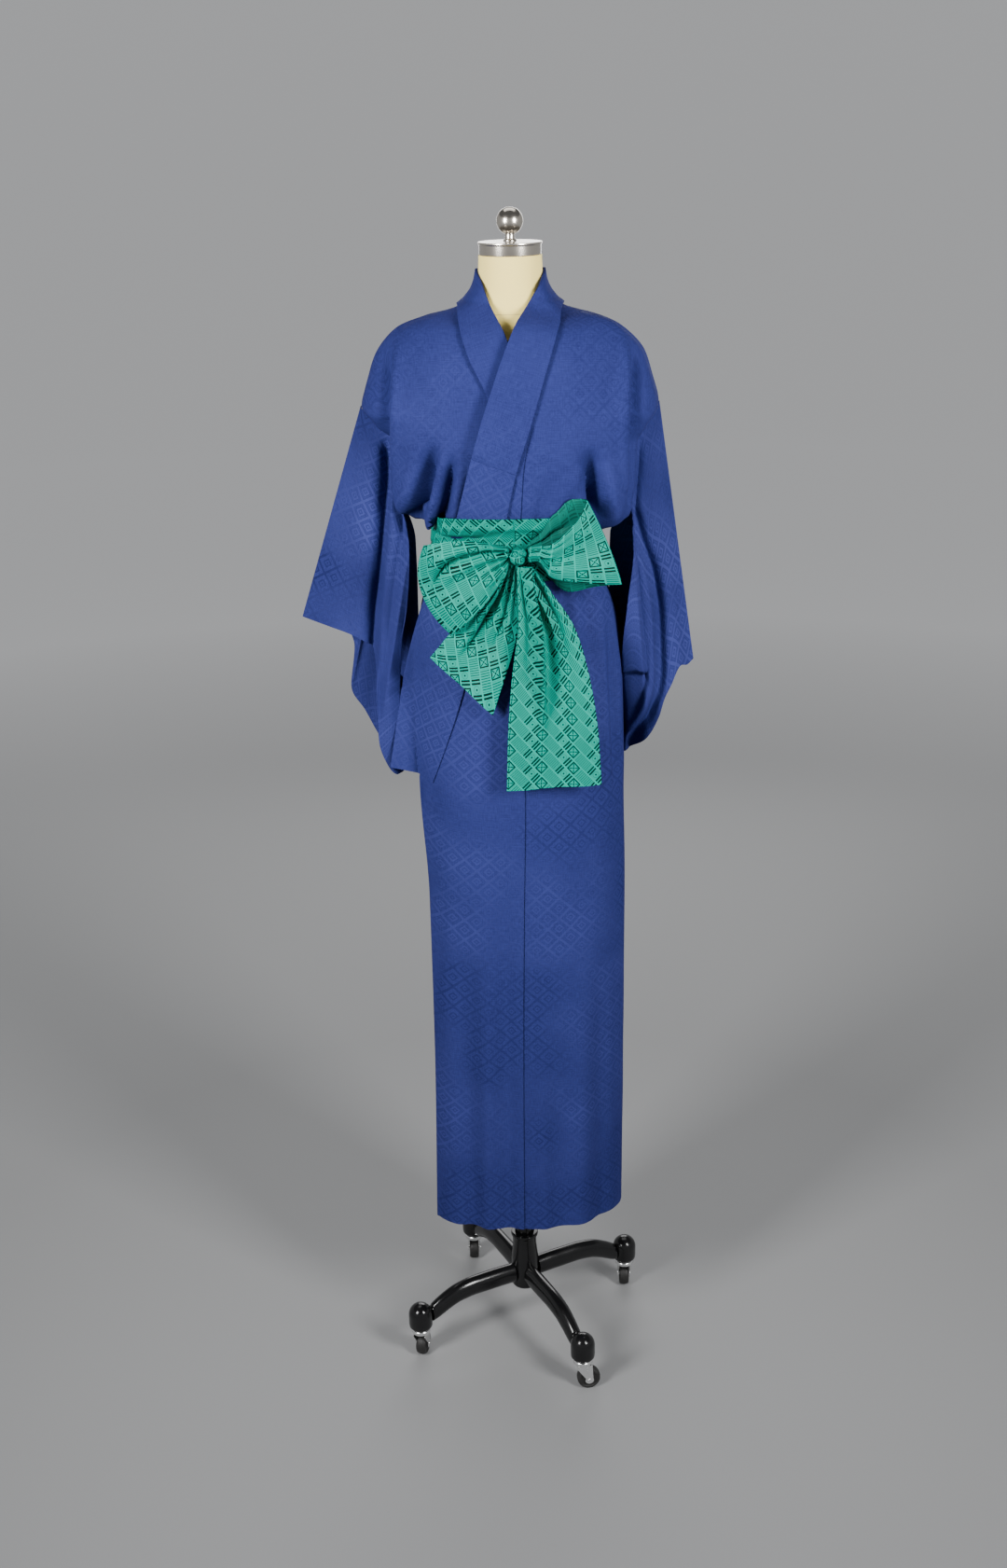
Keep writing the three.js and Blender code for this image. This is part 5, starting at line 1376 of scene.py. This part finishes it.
# ---------------------------------------------------------------- stand
PAINTED = (BLACK, "base", "black_paint")
turned_piece("stand_pole", "pole", BLACK, "pole", "black_paint", 48, 0.8, [
    (0, 440), (12.7, 440), (12.7, 1091.7), (60, 1091.7), (60, 1097.7), (0, 1097.7)])
turned_piece("stand_outer_tube", "stand_tube", *PAINTED, 48, 0.5, [
    (13.2, 84), (16, 84), (16, 620), (13.2, 620)])
turned_piece("stand_hub", "hub", *PAINTED, 64, 1.6, [
    (16.3, 82), (22, 82), (24, 86), (24, 140), (21, 168), (21, 184), (24, 186), (24, 192), (16.3, 192)])
turned_piece("stand_lock_collar", "lock_collar", *PAINTED, 48, 1.2, [
    (16.3, 604), (23, 604), (23, 636), (13, 636), (13, 620.3), (16.3, 620.3)])
SCREW_AXIS = (Matrix.Rotation(90 * DEG, 4, "Z") @ Matrix.Translation((23.3, 0, 616))
              @ Matrix.Rotation(90 * DEG, 4, "Y"))
turned_piece("stand_lock_screw", "lock_screw", *PAINTED, 32, 0.8, [
    (0, 0), (4, 0), (4, 8), (9, 10), (9, 26), (0, 26)], SCREW_AXIS)

ARM_HALF_HIGH, ARM_HALF_WIDE = 18, 14.5
ARM = np.array([
    # distance from the pole's axis, height, size
    [24.4, 111, 1], [60, 112, 1], [100, 112, 0.98], [134, 108, 0.95], [160, 98, 0.9], [178, 88, 0.85],
    [188.6, 82, 0.8]])


def arm_points(turn):
    """An oval with a soft ridge on top, carried along the arm's line and turned about the pole."""
    number = np.arange(len(ARM))
    i = np.linspace(0, number[-1], 60)[:, None]
    r, z, size = (curve(number, ARM[:, k])(i) for k in range(3))
    slope = np.arctan2(np.gradient(z, axis=0), np.gradient(r, axis=0)) * ease(i) * ease(number[-1] - i)
    a = full_turn(40)[None]
    up = ARM_HALF_HIGH * size * np.sign(np.cos(a)) * np.abs(np.cos(a)) ** 0.92
    out = ARM_HALF_WIDE * size * np.sin(a) * (1 - 0.10 * np.cos(a))
    x, y, zz = r - up * np.sin(slope), out + 0 * i, z + up * np.cos(slope)
    c, s = math.cos(turn), math.sin(turn)
    return np.stack([c * x - s * y, s * x + c * y, zz], -1)


KNOB_OUT = 210           # from the pole's axis to a caster's upright axis
TRAIL, AXLE_Z = 10, 20   # the axle, behind that axis and above the floor
FIRST_ARM = -62.85       # degrees from +X to the first arm
CASTER_TURN = (8, 90, 92, 75)  # degrees that each caster is turned about its own upright axis


def at_knob(turn, spin):
    """The place of a caster: out along its arm, and turned about its own upright axis."""
    place = (KNOB_OUT * math.cos(turn), KNOB_OUT * math.sin(turn), 0)
    return Matrix.Translation(place) @ Matrix.Rotation(spin, 4, "Z")


def fork_plate(name, side, matrix):
    """One cheek of the fork: a plate that narrows to a round foot about the axle."""
    shape = np.array([(-15, 49.5), (15, 49.5)] + arc(7.5, (TRAIL, AXLE_Z), 30, -211, -20))
    n = len(shape)
    points = np.concatenate([np.c_[shape[:, 0], np.full(n, side * y), shape[:, 1]] for y in (9.7, 11.3)])
    k = np.arange(n)
    j = (k + 1) % n
    faces = [np.stack([k, j, j + n, k + n], -1), k[None, ::-1], (k + n)[None]]
    points = laid(points, matrix)
    if volume(points, faces) < 0:
        faces = [part[:, ::-1] for part in faces]
    return new_object(name, points, faces, sharp=30)


KNOB = [(0, 62.5), (18.5, 62.5), (20.6, 65.5), (21, 72), (21, 84), *arc(21, (0, 88), 0, 90, 9), (0, 109)]
FORK_TOP = [(0, 49.3), (12.5, 49.3), (16.4, 52), (16.4, 57.5), (13, 60), (6, 62.1), (0, 62.1)]
AXLE = [(0, -12.4), (2.9, -12.4), (2.9, 12.4), (0, 12.4)]
HALF_TREAD = [(20, 3), (19.4, 6.4), (17.6, 8.5), (15.2, 8.5), (14.4, 7.0), (9.6, 7.0), (9, 8.5), (3.4, 8.5)]
TREAD = [(r, -z) for r, z in HALF_TREAD[::-1]] + HALF_TREAD
for n in range(1, 5):
    turn = (FIRST_ARM + (n - 1) * 90) * DEG
    finish_piece(tube(f"base_arm_{n}", arm_points(turn)), *PAINTED, f"arm_{n}")
    here = at_knob(turn, CASTER_TURN[n - 1] * DEG)
    lying = here @ Matrix.Translation((TRAIL, 0, AXLE_Z)) @ Matrix.Rotation(90 * DEG, 4, "X")
    plated = (CHROME, f"caster_{n}", "chrome")
    turned_piece(f"base_knob_{n}", f"knob_{n}", *PAINTED, 64, 1.2, KNOB, here)
    for side, word in ((1, "near"), (-1, "far")):
        cheek = fork_plate(f"caster_cheek_{word}_{n}", side, here)
        finish_piece(cheek, *plated, f"fork_{n}")
    finish_piece(lathe(f"caster_top_{n}", FORK_TOP, 48, 1.2, here), *plated)
    turned_piece(f"caster_axle_{n}", f"axle_{n}", *plated, 24, 0.6, AXLE, lying)
    turned_piece(f"caster_wheel_{n}", f"wheel_{n}", RUBBER, f"wheel_{n}", "rubber", 64, 0.6, TREAD, lying)


# ---------------------------------------------------------------- studio
def studio_paper():
    """Grey paper that glows a little from about 3 m out, as a wall does under lamps of its own."""
    look = Look("studio_paper", Emission_Strength=1.0, Roughness=0.85)
    x, y, z = look.parts(look.spot())
    far = (x * x + y * y + z * z).math("SQRT").above(3.0, 3.8)
    tone = look.noise(look.spot(), 0.8, 2.0)
    look.feed("Base Color", look.blend(tone, rgb(0.250, 0.252, 0.255), rgb(0.262, 0.264, 0.267)))
    look.feed("Emission Color", look.blend(far, rgb(0.0, 0.0, 0.0), rgb(0.300, 0.303, 0.309)))
    return look.material


def studio():
    """A round floor that curves up into a wall, two tall soft lights in front, one behind and a high fill."""
    t = np.linspace(0, math.pi / 2, 24)
    r = np.concatenate([[400, 2000, 5000, 7500], 9000 + 3000 * np.sin(t), [12000]])[:, None]
    z = np.concatenate([[0, 0, 0, 0], 3000 * (1 - np.cos(t)), [7000]])[:, None]
    turn = full_turn(96)[None]
    grid = np.stack([r * np.cos(turn), r * np.sin(turn), z + 0 * turn], -1)
    rows, cols = grid.shape[:2]
    faces = [quads(rows, cols)[:, [0, 3, 2, 1]], np.arange(cols)[None]]
    sweep = new_object("studio_sweep", grid.reshape(-1, 3) - SHIFT, faces, sharp=180)
    sweep.data.materials.append(studio_paper())

    def light(name, place, aim, size, power, spread=math.pi):
        """A soft rectangular lamp at a place in metres, turned to face aim."""
        data = bpy.data.lights.new(name, "AREA")
        data.shape = "RECTANGLE"
        data.size, data.size_y = size
        data.energy = power
        data.spread = spread
        lamp = bpy.data.objects.new(name, data)
        lamp.location = place
        lamp.rotation_euler = (Vector(aim) - Vector(place)).to_track_quat("-Z", "Y").to_euler()
        bpy.context.scene.collection.objects.link(lamp)

    light("soft_left", (-1.55, -1.75, 2.1), (0, 0, 1.5), (0.6, 1.1), 49, 2.2)
    light("soft_right", (1.55, -1.75, 2.1), (0, 0, 1.5), (0.6, 1.1), 45, 2.2)
    light("soft_behind", (0.2, 2.9, 1.9), (0, 0, 1.1), (1.8, 1.6), 26, 2.6)
    light("top_fill", (0, 1.4, 4.2), (0, 1.0, 0.0), (2.6, 2.0), 30)
    world = bpy.data.worlds.new("studio")
    bpy.context.scene.world = world
    world.use_nodes = True
    background = world.node_tree.nodes["Background"]
    background.inputs["Color"].default_value = rgb(0.80, 0.82, 0.86)
    background.inputs["Strength"].default_value = 0.12


studio()
